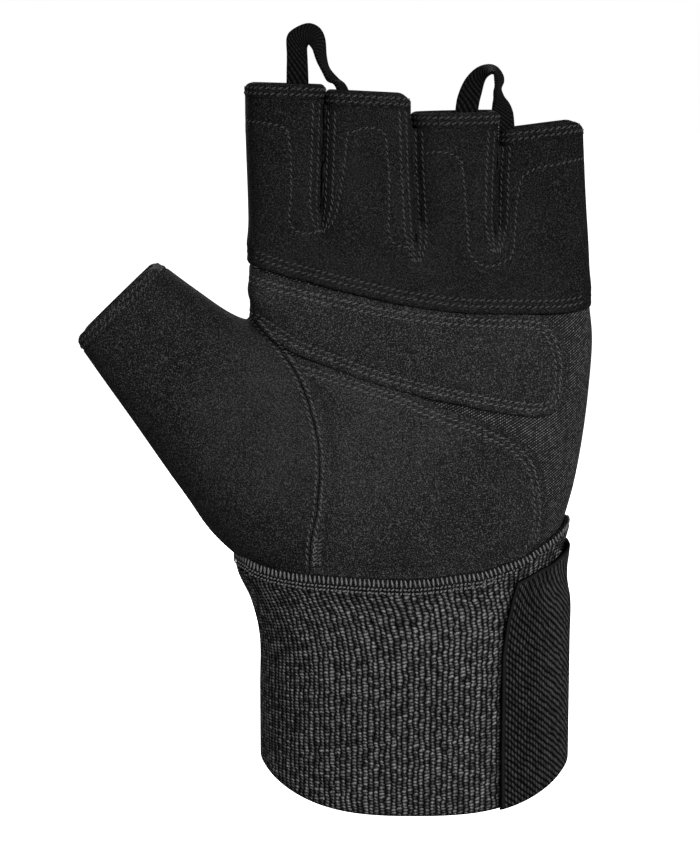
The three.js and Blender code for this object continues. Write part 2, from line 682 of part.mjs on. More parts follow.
piece("back_panel", backPanel(), stretch);
piece("finger_panel", fingerPanel(), suede);
piece("thumb_panel", thumbPanel(), suede);
for (const pair of PAIRS) {
  piece(`fourchette_${pair[0].name}_${pair[1].name}`, fourchette(pair), stretch);
}
for (const finger of FINGERS) {
  piece(`hem_${finger.name}`, hem(finger), suede);
}
piece("hem_thumb", thumbHem(), suede);
piece("upper_palm_pad", upperPalmPad(), suede);
piece("heel_pad", heelPad(), suede);
piece("cuff_elastic", cuffElastic(), knit);
piece("cuff_binding", cuffBinding(), knit);
piece("wrist_strap", wristStrap(), webbing);
piece("pull_tab_index_middle", pullTab(TAB_INDEX_MIDDLE), webbing);
piece("pull_tab_ring_pinky", pullTab(TAB_RING_PINKY), webbing);

export default glove;
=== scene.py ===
# The looks of a fingerless weightlifting glove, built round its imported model: palm towards -Y,
# fingers along +Z, thumb towards -X. Lengths are in millimetres until a piece is finished.
import math

import bmesh
import bpy
import numpy as np
from mathutils import Matrix, Vector
from mathutils.bvhtree import BVHTree


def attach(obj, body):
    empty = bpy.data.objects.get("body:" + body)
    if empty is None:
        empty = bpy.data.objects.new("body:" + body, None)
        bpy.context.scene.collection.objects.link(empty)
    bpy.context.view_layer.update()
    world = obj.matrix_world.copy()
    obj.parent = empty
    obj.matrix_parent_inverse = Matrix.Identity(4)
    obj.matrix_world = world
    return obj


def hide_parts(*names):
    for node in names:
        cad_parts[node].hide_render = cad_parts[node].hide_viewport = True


MILLIMETRE = 0.001
MERGE = 0.0005

# The hand form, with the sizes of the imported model.
CUFF_HEIGHT = 67.2
PALM_LENGTH = 96.0
HALF_WRIST = 41.2
HALF_WRIST_DEPTH = 26.5
HALF_PALM = 50.0
HALF_PALM_DEPTH = 17.0
FABRIC = 1.3
RIM_RISE = 10.5
RIM_REACH = 47.5
RIM_POWER = 3.3
FORM_VOXEL = 0.75
FORM_SMOOTHING = 10
FORM_SMOOTH_FACTOR = 0.5
# Where a panel is cut: how far outside it the form is dropped uncut, the shortest new edge, and
# half the gap of a slit between two stalls.
WELL_BELOW = 3.0
CRUMB = 0.12
SLIT_HALF_GAP = 0.2

# Height, left edge, right edge, front, back and squareness of the trunk inside its fabric.
WRIST_ROWS = [
    (at * CUFF_HEIGHT, left * HALF_WRIST, right * HALF_WRIST, front * HALF_WRIST_DEPTH,
     back * HALF_WRIST_DEPTH, square)
    for at, left, right, front, back, square in [
        (-0.2, -1.02, 0.98, 1.0, 0.98, 2.25),
        (0.1, -1.02, 0.98, 1.0, 0.98, 2.25),
        (0.45, -1.02, 0.98, 0.98, 0.97, 2.25),
        (0.68, -1.02, 0.98, 0.93, 0.92, 2.3),
        (0.85, -1.08, 0.98, 0.87, 0.86, 2.4),
    ]
]
PALM_ROWS = [
    (CUFF_HEIGHT + at * PALM_LENGTH, left * HALF_PALM, right * HALF_PALM,
     front * HALF_PALM_DEPTH, back * HALF_PALM_DEPTH, square)
    for at, left, right, front, back, square in [
        (0.0, -0.975, 0.775, 1.28, 1.22, 2.45),
        (0.12, -0.97, 0.83, 1.2, 1.1, 2.5),
        (0.26, -0.95, 0.9, 1.12, 1.02, 2.6),
        (0.42, -0.93, 0.95, 1.06, 0.94, 2.65),
        (0.58, -0.925, 0.98, 1.01, 0.87, 2.7),
        (0.7, -0.925, 0.99, 0.98, 0.83, 2.7),
        (0.8, -0.925, 0.97, 0.95, 0.8, 2.7),
        (0.9, -0.925, 0.96, 0.91, 0.77, 2.7),
        (0.99, -0.92, 0.945, 0.84, 0.7, 2.6),
        (1.04, -0.89, 0.91, 0.5, 0.45, 2.5),
    ]
]
TRUNK_ROWS = WRIST_ROWS + PALM_ROWS

# The lines between the stalls, from the thumb's side on, as (height, across).
STALL_LINES = [
    [(150, -47.3), (175.3, -47.9), (191.7, -48.4), (206, -48.5)],
    [(160, -27.3), (171.3, -27.1), (188, -26.5), (206, -25.9)],
    [(155, -0.2), (162.8, -0.3), (182.5, -1.5), (198, -2.0)],
    [(158, 22.0), (165.7, 22.1), (181, 22.3), (200, 23.1)],
    [(145, 50.0), (154.4, 49.3), (169.9, 48.3), (187.3, 47.2), (196, 46.8)],
]
CROTCH_HEIGHTS = [169.9, 162.0, 164.6]
# Each stall's front and back depth, squareness at its left and right, and its opening: height,
# slope across, slope in depth, and the rounding of its left and right corner.
STALLS = {
    "index": (14.0, 11.5, 3.0, 4.4, 206.3, -0.03, -0.02, 2.2, 1.5),
    "middle": (14.5, 11.5, 4.2, 6.0, 204.0, -0.05, -0.02, 1.5, 3.3),
    "ring": (13.75, 11.75, 2.7, 4.4, 198.4, 0.02, -0.01, 2.0, 1.5),
    "pinky": (13.0, 11.25, 4.0, 3.0, 194.8, 0.13, -0.02, 1.5, 4.3),
}
# Depth and width of a stall as it grows out of the palm, by height.
STALL_ROWS = [(140.6, 0.85, 0.97), (155, 1.0, 1.01), (163.2, 1.03, 1.01), (173.5, 1.02, 1.0),
              (187.8, 1.0, 1.0), (212.4, 0.95, 1.0)]

# How far each part of the hand form is swept: heights up the trunk, distances along the thumb,
# and the stalls from their foot to a little past their opening.
TRUNK_SPAN = (45, 166.5)
THUMB_SPAN = (91, -6)
STALL_FOOT = 142.0
STALL_OVERRUN = 5
STALL_GROW = 0.1
# Faces round and along the parts of the form, and round and across the bands and strips.
TRUNK_FACES = (120, 50)
THUMB_FACES = (90, 40)
STALL_FACES = (100, 30)
HEM_COLUMNS = 160
THUMB_HEM_COLUMNS = 110
FOURCHETTE_FACES = (14, 64)
KNIT_FACES = (5, 52)
BINDING_COLUMNS = 280
STRAP_FACES = (220, 90)
TAB_FACES = (8, 110)

# Distance from the thumb's opening, low, high, front, back and squareness of the thumb.
THUMB_LENGTH = 75.0
THUMB_WIDTH = 32.4
THUMB_DEPTH = 27.5
THUMB_TURN = math.radians(46)
THUMB_TIP = Vector((-86.0, 0, 144.4))
THUMB_DOWN = Vector((math.cos(THUMB_TURN), 0, -math.sin(THUMB_TURN)))
THUMB_ACROSS = Vector((math.sin(THUMB_TURN), 0, math.cos(THUMB_TURN)))
THUMB_ROWS = [
    (at * THUMB_LENGTH, low * THUMB_WIDTH, high * THUMB_WIDTH, front * THUMB_DEPTH,
     back * THUMB_DEPTH, square)
    for at, low, high, front, back, square in [
        (0.0, -0.445, 0.452, 0.47, 0.47, 2.5),
        (0.18, -0.518, 0.52, 0.49, 0.49, 2.45),
        (0.36, -0.587, 0.61, 0.53, 0.5, 2.4),
        (0.5, -0.644, 0.79, 0.58, 0.53, 2.4),
        (0.62, -0.692, 0.85, 0.63, 0.56, 2.4),
        (0.74, -0.735, 0.8, 0.68, 0.58, 2.4),
        (0.86, -0.785, 0.7, 0.72, 0.6, 2.4),
        (0.96, -0.79, 0.54, 0.74, 0.61, 2.4),
        (1.06, -0.76, 0.32, 0.74, 0.6, 2.3),
        (1.16, -0.68, 0.04, 0.66, 0.55, 2.2),
        (1.22, -0.56, -0.24, 0.4, 0.35, 2.0),
    ]
]

# Seams and edges on the palm, as (across, height) points.
FINGER_EDGE = [(-70, 160.5), (-55, 158), (-46.9, 156.2), (-40.7, 154.3), (-35.4, 152.6),
               (-29.8, 151.2), (-22, 149.2), (-14.1, 147.4), (-5.4, 145.4), (2.8, 144.1),
               (11.4, 143), (18.4, 142.7), (27.4, 142.5), (36.4, 142.2), (43.4, 142.4),
               (49.2, 143.4), (56, 144.5), (70, 146)]
UPPER_PAD_EDGE = [(-60, 158.2), (-47, 155), (-35.4, 151.9), (-22, 148.9), (-5.4, 145.6),
                  (11.4, 143.7), (27.4, 142.9), (34.5, 142.2), (38.6, 139.6), (41.3, 134.6),
                  (42.9, 128), (42.4, 119.5), (40.6, 115.6), (37.2, 113.7), (33, 113.3),
                  (28.5, 113.9), (20.7, 115.2), (12, 117.1), (3.5, 118.8), (-7, 121.6),
                  (-14.2, 123.7), (-24.9, 127.7), (-33.8, 131), (-40, 134.4), (-60, 146)]
HEEL_PAD_EDGE = [(-45, 133.6), (-36, 130.9), (-27.7, 128.7), (-18, 126), (-10, 123.4),
                 (-3.5, 121.2), (8.5, 116), (17.5, 113), (25, 109.6), (30.5, 105.8),
                 (34.6, 101), (36.6, 94.5), (37.4, 88), (37.2, 82), (35.4, 75.5), (31.5, 66),
                 (31, 55), (-45, 55)]
THUMB_SEAM = [(-60, 150), (-50.5, 143.6), (-46.8, 140.6), (-44.1, 138.1), (-41, 134.8),
              (-35.8, 128.4), (-32, 121.2), (-29.5, 113.4), (-27.9, 105.5), (-27.5, 98.9),
              (-27.9, 92.3), (-28.5, 85.6), (-29.9, 79), (-30.3, 72.4), (-30.5, 60),
              (-30.5, 40)]
CUFF_SEAM = [(-75, 76), (-51.1, 72.7), (-47.1, 71.2), (-41.9, 70.1), (-34.5, 69.3),
             (-27.2, 69), (-17.5, 68.6), (-10.1, 68.3), (0.2, 68.2), (12.4, 69.4),
             (18.4, 69.9), (24.6, 71.5), (30.6, 73.3), (35.4, 76.2), (38.4, 77.9), (42.4, 81.1),
             (52, 88)]
WAVE_LINES = [
    [(-47.9, 196), (-42, 195.7), (-37.6, 194.6), (-36.2, 193), (-35.4, 185.5), (-35.4, 176.3),
     (-36, 169.6), (-35, 166.8), (-32.4, 165.2), (-28.7, 165.2), (-25.1, 166.5),
     (-23.1, 169.6), (-22, 174.3), (-20.9, 180.8), (-20, 188.8), (-19.5, 193),
     (-17.5, 193.5), (-14.7, 194.4), (-11.4, 194.1), (-9.2, 192.4), (-8.6, 187.7),
     (-8, 180.8), (-8, 173.8), (-8, 165.4), (-6.8, 162.6), (-4, 161.4), (-0.7, 161.7)],
    [(2, 187.2), (5.1, 187.7), (8.7, 187.3), (11.5, 186), (12.4, 183.5), (13, 178),
     (13.6, 171), (14.1, 164.5), (14.5, 160.3), (15.9, 157.8), (18.5, 156.1), (21, 156.1),
     (23.5, 156.9), (26.1, 158.4), (26.9, 160.9), (27.4, 165.9), (27.8, 173.5),
     (28.4, 177.4), (29.2, 180.5), (31.4, 182.3), (34.1, 183.5), (38.3, 184.1),
     (41.4, 184.8), (46.5, 185.6)],
]
SEAM_POINTS = 120
PAD_POINTS = 180
WAVE_POINTS = 150

# Where the panels end: behind the palm's side, under the finger panel, and below the cuff's seam.
PALM_SIDE = 1.3
PAD_SIDE = -4
FINGER_OVERLAP = 1.5
BACK_TUCK = 5
THUMB_TUCK = 3
HEEL_TUCK = 1
SEAM_LAP = 0.05
BACK_SINK = 0.06

# Relief, as depth and width or as rise and radius: folded edges, the grooves that stitches press
# in, and the puff of the pads. It is full on the palm, and fades over these depths to the sides.
SIDE_RELIEF = 0.25
PALM_TURN = (3, 12)
CUT_MARGIN = 0.05
FOLD_RADIUS = 0.8
LIP_RISE = 1.5525
LIP_FADE = (4.2, 12)
LIP_GROOVE = (0.3, 0.6)
WAVE_GROOVE = (0.32, 0.9)
WAVE_SWELL = (0.14, 3.4)
THUMB_RISE = 0.4
THUMB_FOLD_RADIUS = 0.7
THUMB_GROOVE = (0.2, 0.5)
PAD_GROOVE = (0.38, 0.62)
PAD_PUFF = 1.3
PAD_BORDER = 3.4
PAD_CROWN = 4
UPPER_BORDER_RISE = 1.6
UPPER_BORDER_TUCK = 1.1
UPPER_TUCK_REACH = (-5, -1)
HEEL_BORDER_RISE = 0.85

# The folded hems, as (distance below the opening, growth outwards) round their section.
HEM_HEIGHT = 4.2
HEM_PROFILE = [(4.3, -0.05), (4.1, 0.12), (3.0, 0.24), (1.6, 0.26), (0.7, 0.2), (0.25, -0.02),
               (0.0, -0.45), (0.0, -0.9), (0.3, -1.5), (0.9, -1.75), (2.4, -1.8), (4.2, -1.8),
               (4.6, -1.3)]
HEM_SINK = 0.05
# How far beside the outer stalls their hems still cut the panels, and the height left elsewhere.
HEM_REACH = 10.0
CLEAR_OF_HEMS = 1000.0
# The thumb's hem: how far it grows and stands out past its panel, and its rounded corners.
THUMB_HEM_GROW = 0.02
THUMB_HEM_PROUD = 0.5
THUMB_HEM_HALF = 0.45
THUMB_HEM_CORNER = 3.2

# The strips between the stalls: their bent foot, the height where their lean ends, their section.
FOURCHETTE_SINK = 0.3
FOURCHETTE_TOP_GAP = 2.5
FOURCHETTE_BEND = 0.14
FOURCHETTE_HALF_GAP = 0.45
FOURCHETTE_LEAN = 1.6
FOURCHETTE_LEAN_END = (18, 27)
FOURCHETTE_DEPTH = 17
FOURCHETTE_WALL = 0.6

# The cuff, its binding and the strap round it.
RIM_SAG = 0.25
CUFF_MIDDLE = 35.0
BINDING_LEVEL = 70.0
BINDING_PROUD = 0.25
BINDING_PROFILE = [(0.4, -1.2), (0.0, -0.6), (0.3, 0.0), (1.0, 0.25), (2.0, 0.25), (3.0, 0.15),
                   (3.7, 0.05), (4.2, -0.5), (3.6, -1.5), (1.8, -1.7)]
SIDE_FILL = 0.6
SIDE_FILL_START = (60, 67)
SIDE_FILL_END = (69, 75)
SIDE_TUCK = 0.8
RIB_RISE = 0.22
RIB_SINK = 0.2
RIB_FADE_TOP = 6
RIB_FADE_RIM = 2
RIM_TURN_IN = 0.7
RIM_TURN_RADIUS = 1.4
CUFF_TOP_GAP = 3.2
KNIT_GROW = FABRIC + 0.35 + 1.8
STRAP_GROW = KNIT_GROW + 0.35 + 1.5
STRAP_START = [(-13.4, 24.7), (20.2, 24.2), (47, 24.4), (56, 25.6), (62, 27.4), (68, 29.5)]
STRAP_END = -25.5
STRAP_SPAN = (4, 66)
STRAP_DROP = 5.8
STRAP_SIDE_DROP = 2.6
STRAP_SIDE_REACH = (30, 46)
STRAP_FOLD = 0.5
STRAP_FOLD_RADIUS = 1.2
KNIT_RIBS = 148

# The edges of the two pull tabs' ribbons: across, height and depth, one row for each place.
TAB_INDEX_MIDDLE = [
    ((-37, 196.7, 7.5), (-30.7, 196.7, 6.25)), ((-37, 206.7, 7.5), (-30.8, 206.7, 6.25)),
    ((-36.9, 213.7, 7.75), (-31, 212.7, 6.75)), ((-36.9, 219.2, 8), (-31.1, 215.7, 7.25)),
    ((-34.5, 221.7, 8), (-30.9, 216.7, 7.25)), ((-30.7, 223, 8), (-30.5, 216.9, 7)),
    ((-27.6, 221.7, 7.75), (-30, 216.3, 6)), ((-26.2, 218.7, 7.5), (-29.3, 215, 4.25)),
    ((-25.9, 213.7, 7.25), (-28, 212.4, 2.25)), ((-25, 210.1, 7.25), (-26.5, 209.7, 1.5)),
    ((-22.4, 207.1, 7.25), (-25.2, 207.2, 1.75)), ((-20.4, 205.4, 6.75), (-23.4, 206.3, 2.25)),
    ((-19.3, 202.6, 6.75), (-22.2, 203.4, 2.5)), ((-18.2, 195.7, 7.25), (-22, 195.7, 3)),
]
TAB_RING_PINKY = [
    ((11.2, 188.7, 8.25), (17.4, 188.7, 7)), ((11.4, 198.7, 8.25), (17.8, 198.7, 7)),
    ((12.4, 203.5, 8.5), (18.8, 203.5, 7.25)), ((14.4, 207.4, 8.5), (19.5, 206.5, 6.75)),
    ((17.4, 210.1, 8.5), (20.3, 208.1, 5.5)), ((20.5, 211, 8.25), (21.4, 209, 3.75)),
    ((22.8, 210.4, 8), (22.3, 208.7, 2.75)), ((24.4, 208.4, 7.75), (22.5, 207.1, 2.5)),
    ((24.7, 206.6, 7.75), (22.6, 205.3, 2.5)), ((24, 204.5, 7.75), (22.3, 203.7, 2.5)),
    ((24.9, 202.1, 8), (22.3, 201.9, 3)), ((26.4, 200.2, 8), (22.0, 200.2, 3.25)),
    ((27.5, 197.8, 7), (21.7, 197.8, 3.6)), ((27.9, 194.8, 6.5), (21.7, 194.8, 3.6)),
    ((28.2, 190.5, 6.5), (21.8, 190.5, 3.6)), ((28.4, 186, 6.5), (21.9, 186, 3.6)),
]

# Stitches: half their length, width and height, how they are laid, and how far each row lies
# from its edge.
STITCH_PITCH = 1.8
STITCH = (0.8, 0.19, 0.16)
SINGLE_STITCH = (0.66, 0.2, 0.17)
OVERLOCK_STITCH = (1.15, 0.32, 0.3)
LOOP_STITCH = (0.5, 0.26, 0.26)
STITCH_SLANT = math.radians(28)
STITCH_SWAY = 0.1
SWAY_STEP = 2.4
STITCH_LIFT = 0.04
STITCH_REACH = 0.4
RING_REACH = 0.3
STITCH_FACES = (8, 5)
STITCH_BATCH = 16
LAID_POINTS = 400
IN_FRONT = -90
# The turns of each hem that its stitches run over: none show where two fingers touch.
HEM_ARCS = {
    "index": [(0.1, 2 * math.pi - 0.1)],
    "middle": [(0.1, math.pi - 0.1), (math.pi + 0.1, 2 * math.pi - 0.1)],
    "ring": [(0.1, math.pi - 0.1), (math.pi + 0.1, 2 * math.pi - 0.1)],
    "pinky": [(0.1 - math.pi, math.pi - 0.1)],
}
WHOLE_TURN = [(-math.pi, math.pi)]
HEM_STITCH_GROW = 0.19
THUMB_STITCH_GROW = 0.27
EDGE_ROWS = (2.2, 3.8)
LIP_ROWS = (2.3, 4.0)
HEM_ROWS = (1.3, 2.9)
THUMB_ROW = 0.95
GAP_ROWS = (1.3, 3.1)
GAP_ROW_POINTS = 60
GAP_FOOT_DROP = 5
GAP_FOOT_OPEN = 0.4
GAP_FOOT_HEIGHT = 9
GAP_TOP_GAP = 0.6
OVERLOCK_ROWS = [1.15]
OVERLOCK_PITCH = 1.3
OVERLOCK_SLANT = 0.12
OVERLOCK_SWAY = 0.13
LOOP_ROWS = [2.9, 4.0]
LOOP_PITCH = 1.15
LOOP_SWAY = 0.6
# How near the pads' rows come to the thumb's seam, the finger panel's lip and the cuff's seam.
SEAM_CLEAR = 1.6
LIP_CLEAR = 0.8
CUFF_CLEAR = 0.8
LIP_ENDS = (-46.5, 47.5)
THUMB_SEAM_START = -50.5
THUMB_SEAM_FOOT = 70
BAR_TACK = [(-28.3, 71.5), (-28.1, 79)]
TACK_OFFSET = 0.6
TACK_PITCH = 1.1

# Cloth: the walls of the pieces, how full the pads are, and the pitches of the weaves.
WALL = 1.1
STRAP_THICKNESS = 1.5
TAB_WALL = 1.1
TAB_BEVEL = 0.25
BEVEL_ANGLE = math.radians(50)
TWILL_ANGLE = math.radians(27)
TWILL_PITCH = 0.72
TWILL_BEAD = 0.75
KNIT_ROWS = 68
STRAP_LENGTH = 128
STRAP_WIDTH = 60
CORD_PITCH = 1.75
CORD_COLUMN = 1.07
CORD_SLANT = 0.95
LADDER_REACH = (8, 24)
SELVAGE = (0.9, 1.3)
SELVAGE_SHADE = 0.16
RIBBON_ROWS = 40
RIBBON_SLANT = 4.0
# The sizes of the suede's nap, light tips and clouds, and of the blotches on the other cloths.
NAP_SIZE = 0.42
TIP_SIZE = 0.36
CLOUD_SIZE = 11.0
STRETCH_CLOUD_SIZE = 14.0
KNIT_WANDER_SIZE = 2.6
YARN_SIZE = 0.5
STRAP_WANDER_SIZE = 3.0
DUST_SIZE = 0.6
STRAND_SIZE = 0.35
# Relief depths of the cloths.
SUEDE_RELIEF = 0.3
STRETCH_RELIEF = 0.22
KNIT_RELIEF = 0.45
STRAP_RELIEF = 0.35
RIBBON_RELIEF = 0.18
THREAD_RELIEF = 0.08
# The darkest and lightest grey of each cloth. Suede and thread take theirs as shares of a tone.
SUEDE_RANGE = (0.2, 3.4)
THREAD_RANGE = (0.4, 1.6)
STRETCH_GREYS = (0.004, 0.24)
KNIT_GREYS = (0.002, 0.27)
STRAP_GREYS = (0.0008, 0.068)
RIBBON_GREYS = (0.0005, 0.015)
PANEL_TONE = 0.0118
PAD_TONE = 0.0275
THUMB_TONE = 0.0215
# The threads' tones are lighter than black thread's own colour: a painted sheen.
THREAD_TONE = 0.06
# Painted light: a lighter copy of the same thread's tone for the rows on the pads and along the
# thumb's seam, where the light falls brighter.
LIT_PALM_THREAD_TONE = 0.1
OVERLOCK_TONE = 0.15
# The middle, radius and strength of the painted pool of light on each suede: a paler place where
# the light falls brightest.
PANEL_LIGHT_POOL = (-4, 155, 52, 1.2)
UPPER_PAD_LIGHT_POOL = (-10, 136, 60, 0.25)
HEEL_PAD_LIGHT_POOL = (-18, 114, 30, 0.8)
THUMB_LIGHT_POOL = (-37, 115, 27, 1.2)
LIGHT_POOL_FADE = (0.1, 1.6)

# The studio: the camera as the photograph was taken, the lights and the floor, in metres.
SENSOR_WIDTH = 36
PHOTO_FOCUS = 2413.8
PHOTO_HEIGHT = 860
CAMERA_TARGET = (-0.0189, 0, 0.1067)
CAMERA_DISTANCE = 0.7
CAMERA_RISE = math.radians(10)
FLOOR_HEIGHT = -0.12
FLOOR_RADIUS = 6.0
FLOOR_COLUMNS = 96
FLOOR_COLOUR = (0.9, 0.9, 0.9, 1)
FLOOR_GLOW = 1.0
WHITE = (1, 1, 1, 1)
FILL_LIGHT = 0.35
# Name, place, the point it is aimed at, size across and power of each lamp.
LIGHTS = [
    ("key", (0.43, -0.86, 0.5), (0, 0, 0.1), 0.5, 9.5),
    ("back", (-0.3, 0.9, 0.6), (0, 0, 0.1), 0.6, 12),
]


def through(points, steps=12):
    """Points along a smooth line through the given ones, the same number between each two."""
    knots = np.array(points, dtype=float)
    padded = np.vstack([2 * knots[0] - knots[1], knots, 2 * knots[-1] - knots[-2]])
    line = [
        0.5 * (2 * b + (c - a) * t + (2 * a - 5 * b + 4 * c - d) * t**2
               + (3 * b - a - 3 * c + d) * t**3)
        for a, b, c, d in zip(padded[:-3], padded[1:-2], padded[2:-1], padded[3:])
        for t in np.arange(steps) / steps
    ]
    return np.array([*line, knots[-1]])


def run_of(line):
    """How far along the line each of its points lies."""
    return np.concatenate([[0], np.cumsum(np.linalg.norm(np.diff(line, axis=0), axis=1))])


def spaced(line, count):
    """The same line as evenly spaced points."""
    run = run_of(line)
    at = np.linspace(0, run[-1], count)
    return np.stack([np.interp(at, run, axis) for axis in line.T], axis=1)


def smooth(points, count):
    return spaced(through(points), count)


def beside(line, distance):
    """The line moved to its left by distance, as it is walked with height up."""
    way = np.gradient(line, axis=0)
    way /= np.linalg.norm(way, axis=1, keepdims=True)
    return line + distance * np.stack([-way[:, 1], way[:, 0]], axis=1)


def off_line(points, line):
    """How far points lie to the left of a line, seen from the palm side."""
    flat = points[:, [0, 2]]
    nearest = np.full(len(flat), np.inf)
    side = np.zeros(len(flat))
    for a, b in zip(line[:-1], line[1:]):
        way = b - a
        t = np.clip(((flat - a) @ way) / (way @ way), 0, 1)
        gap = flat - a - t[:, None] * way
        distance = np.einsum("ij,ij->i", gap, gap)
        closer = distance < nearest
        nearest[closer] = distance[closer]
        side[closer] = (way[0] * gap[:, 1] - way[1] * gap[:, 0])[closer]
    return np.sqrt(nearest) * np.where(side < 0, -1, 1)


def inside(points, outline):
    """How far points lie inside a closed outline, seen from the palm side."""
    flat = points[:, [0, 2]]
    within = np.zeros(len(flat), dtype=bool)
    closed = np.vstack([outline, outline[:1]])
    for (ax, az), (bx, bz) in zip(closed[:-1], closed[1:]):
        if az != bz:
            spans = (az > flat[:, 1]) != (bz > flat[:, 1])
            within ^= spans & (flat[:, 0] < (bx - ax) * (flat[:, 1] - az) / (bz - az) + ax)
    return np.where(within, 1, -1) * np.abs(off_line(points, closed))


def soft_step(value, low, high):
    t = np.clip((value - low) / (high - low), 0, 1)
    return t * t * (3 - 2 * t)


def bell(value, width):
    return np.exp(-((value / width) ** 2))


def rounded(distance, radius):
    """Rises from 0 at an edge to 1 at radius from it, along a quarter circle."""
    t = np.clip(distance / radius, 0, 1)
    return np.sqrt(t * (2 - t))


def folded(edge, radius):
    """The rounding of a cloth's fold, at a distance in from where the cloth is cut."""
    return rounded(edge + CUT_MARGIN, radius)


def groove(distance, depth, width):
    """How deep a row of stitches presses in, at a distance from it."""
    return depth * bell(distance, width)


def swept(span, share):
    """The place at a share of the way from one end of a span to the other."""
    return span[0] + (span[1] - span[0]) * share


class Table:
    """Rows of (place, value, ...), read at any place with smooth slopes."""

    def __init__(self, rows):
        self.rows = through(rows)

    def at(self, place):
        return [np.interp(place, self.rows[:, 0], column) for column in self.rows.T[1:]]


TRUNK = Table(TRUNK_ROWS)
THUMB = Table(THUMB_ROWS)
STALL_GROWTH = Table(STALL_ROWS)
FINGERS = list(STALLS)


def squared(turn, square_left, square_right):
    """A place on a squared circle: across and deep, from -1 to 1."""
    across, deep = np.cos(turn), np.sin(turn)
    power = 2 / np.where(across > 0, square_right, square_left)
    return np.sign(across) * np.abs(across) ** power, np.sign(deep) * np.abs(deep) ** power


def on_trunk(turn, height, grow):
    """Places round the wrist and palm. A turn of 0 is the little finger's side."""
    left, right, front, back, square = TRUNK.at(height)
    across, deep = squared(turn, square, square)
    x = (left + right) / 2 + across * ((right - left) / 2 + grow)
    return np.stack([x, deep * (np.where(deep < 0, front, back) + grow), height + 0 * x], axis=-1)


def stall_edge(number, height):
    """Where the line between two stalls lies across, at a height."""
    return np.interp(height, *zip(*STALL_LINES[number]))


def on_stall(finger, turn, height, grow):
    """Places round a stall, grown outwards by grow."""
    front, back, square_left, square_right = STALLS[finger][:4]
    number = FINGERS.index(finger)
    left, right = stall_edge(number, height), stall_edge(number + 1, height)
    depth, width = STALL_GROWTH.at(height)
    across, deep = squared(turn, square_left, square_right)
    x = (left + right) / 2 + across * ((right - left) / 2 * width + grow)
    return np.stack([x, deep * (np.where(deep < 0, front, back) * depth + grow), height + 0 * x],
                    axis=-1)


def opening_height(finger, x, y):
    height, slope, dip = STALLS[finger][4:7]
    number = FINGERS.index(finger)
    middle = (stall_edge(number, height) + stall_edge(number + 1, height)) / 2
    return height + slope * (x - middle) + dip * y


def on_thumb(turn, along, grow):
    """Places round the thumb, at a distance along it from its opening."""
    low, high, front, back, square = THUMB.at(along)
    across, deep = squared(turn, square, square)
    spread = (low + high) / 2 + across * ((high - low) / 2 + grow)
    y = deep * (np.where(deep < 0, front, back) + grow)
    return (np.array(THUMB_TIP) + np.multiply.outer(along + 0 * spread, THUMB_DOWN)
            + np.multiply.outer(spread, THUMB_ACROSS) + np.multiply.outer(y, (0, 1, 0)))


def grid(columns, rows, place):
    """A sheet of columns by rows faces, laid out by place(u, v), with its UV map."""
    bm = bmesh.new()
    bm.loops.layers.uv.new("weave")
    bmesh.ops.create_grid(bm, x_segments=columns, y_segments=rows, size=0.5, calc_uvs=True)
    flat = positions(bm) + 0.5
    for vert, point in zip(bm.verts, place(flat[:, 0], flat[:, 1])):
        vert.co = point
    bmesh.ops.remove_doubles(bm, verts=bm.verts, dist=MERGE)
    return bm


def tube(columns, rows, place):
    """A closed tube: place(turn, share) gives its places from one end to the other."""
    bm = grid(columns, rows, lambda u, v: place(2 * math.pi * u, v))
    bmesh.ops.holes_fill(bm, edges=[edge for edge in bm.edges if edge.is_boundary])
    bmesh.ops.recalc_face_normals(bm, faces=bm.faces)
    return bm


def band(columns, profile, place):
    """A closed band: place(turn, drop, grow) turns its profile round an opening."""
    drops, grows = np.array(profile).T

    def on_profile(u, v):
        step = np.rint(v * len(profile)).astype(int) % len(profile)
        return place(2 * math.pi * u, drops[step], grows[step])

    bm = grid(columns, len(profile), on_profile)
    bmesh.ops.recalc_face_normals(bm, faces=bm.faces)
    return bm


def to_object(name, bm, scale=1.0):
    mesh = bpy.data.meshes.new(name)
    bmesh.ops.scale(bm, vec=(scale, scale, scale), verts=bm.verts)
    bm.to_mesh(mesh)
    bm.free()
    mesh.shade_smooth()
    made = bpy.data.objects.new(name, mesh)
    bpy.context.scene.collection.objects.link(made)
    return made


def join(parts):
    """One mesh from several."""
    whole = bmesh.new()
    for part in parts:
        mesh = bpy.data.meshes.new("part")
        part.to_mesh(mesh)
        part.free()
        whole.from_mesh(mesh)
        bpy.data.meshes.remove(mesh)
    return whole


def hand_form():
    """The smooth outside of the fabric: trunk, thumb and stalls grown together."""
    parts = [
        tube(*TRUNK_FACES, lambda turn, share: on_trunk(turn, swept(TRUNK_SPAN, share), FABRIC)),
        tube(*THUMB_FACES, lambda turn, share: on_thumb(turn, swept(THUMB_SPAN, share), FABRIC)),
    ]
    for finger, stall in STALLS.items():
        span = (STALL_FOOT, stall[4] + STALL_OVERRUN)
        parts.append(tube(*STALL_FACES, lambda turn, share: on_stall(
            finger, turn, swept(span, share), STALL_GROW)))
    made = to_object("form", join(parts))
    remesh = made.modifiers.new("voxels", "REMESH")
    remesh.mode = "VOXEL"
    remesh.voxel_size = FORM_VOXEL
    smoothing = made.modifiers.new("smooth", "SMOOTH")
    smoothing.iterations = FORM_SMOOTHING
    smoothing.factor = FORM_SMOOTH_FACTOR
    evaluated = made.evaluated_get(bpy.context.evaluated_depsgraph_get())
    bm = bmesh.new()
    bm.from_mesh(evaluated.to_mesh())
    bpy.data.objects.remove(made)
    return bm


def positions(bm):
    """The places of the mesh's vertices, one row for each."""
    return np.array([vert.co[:] for vert in bm.verts])


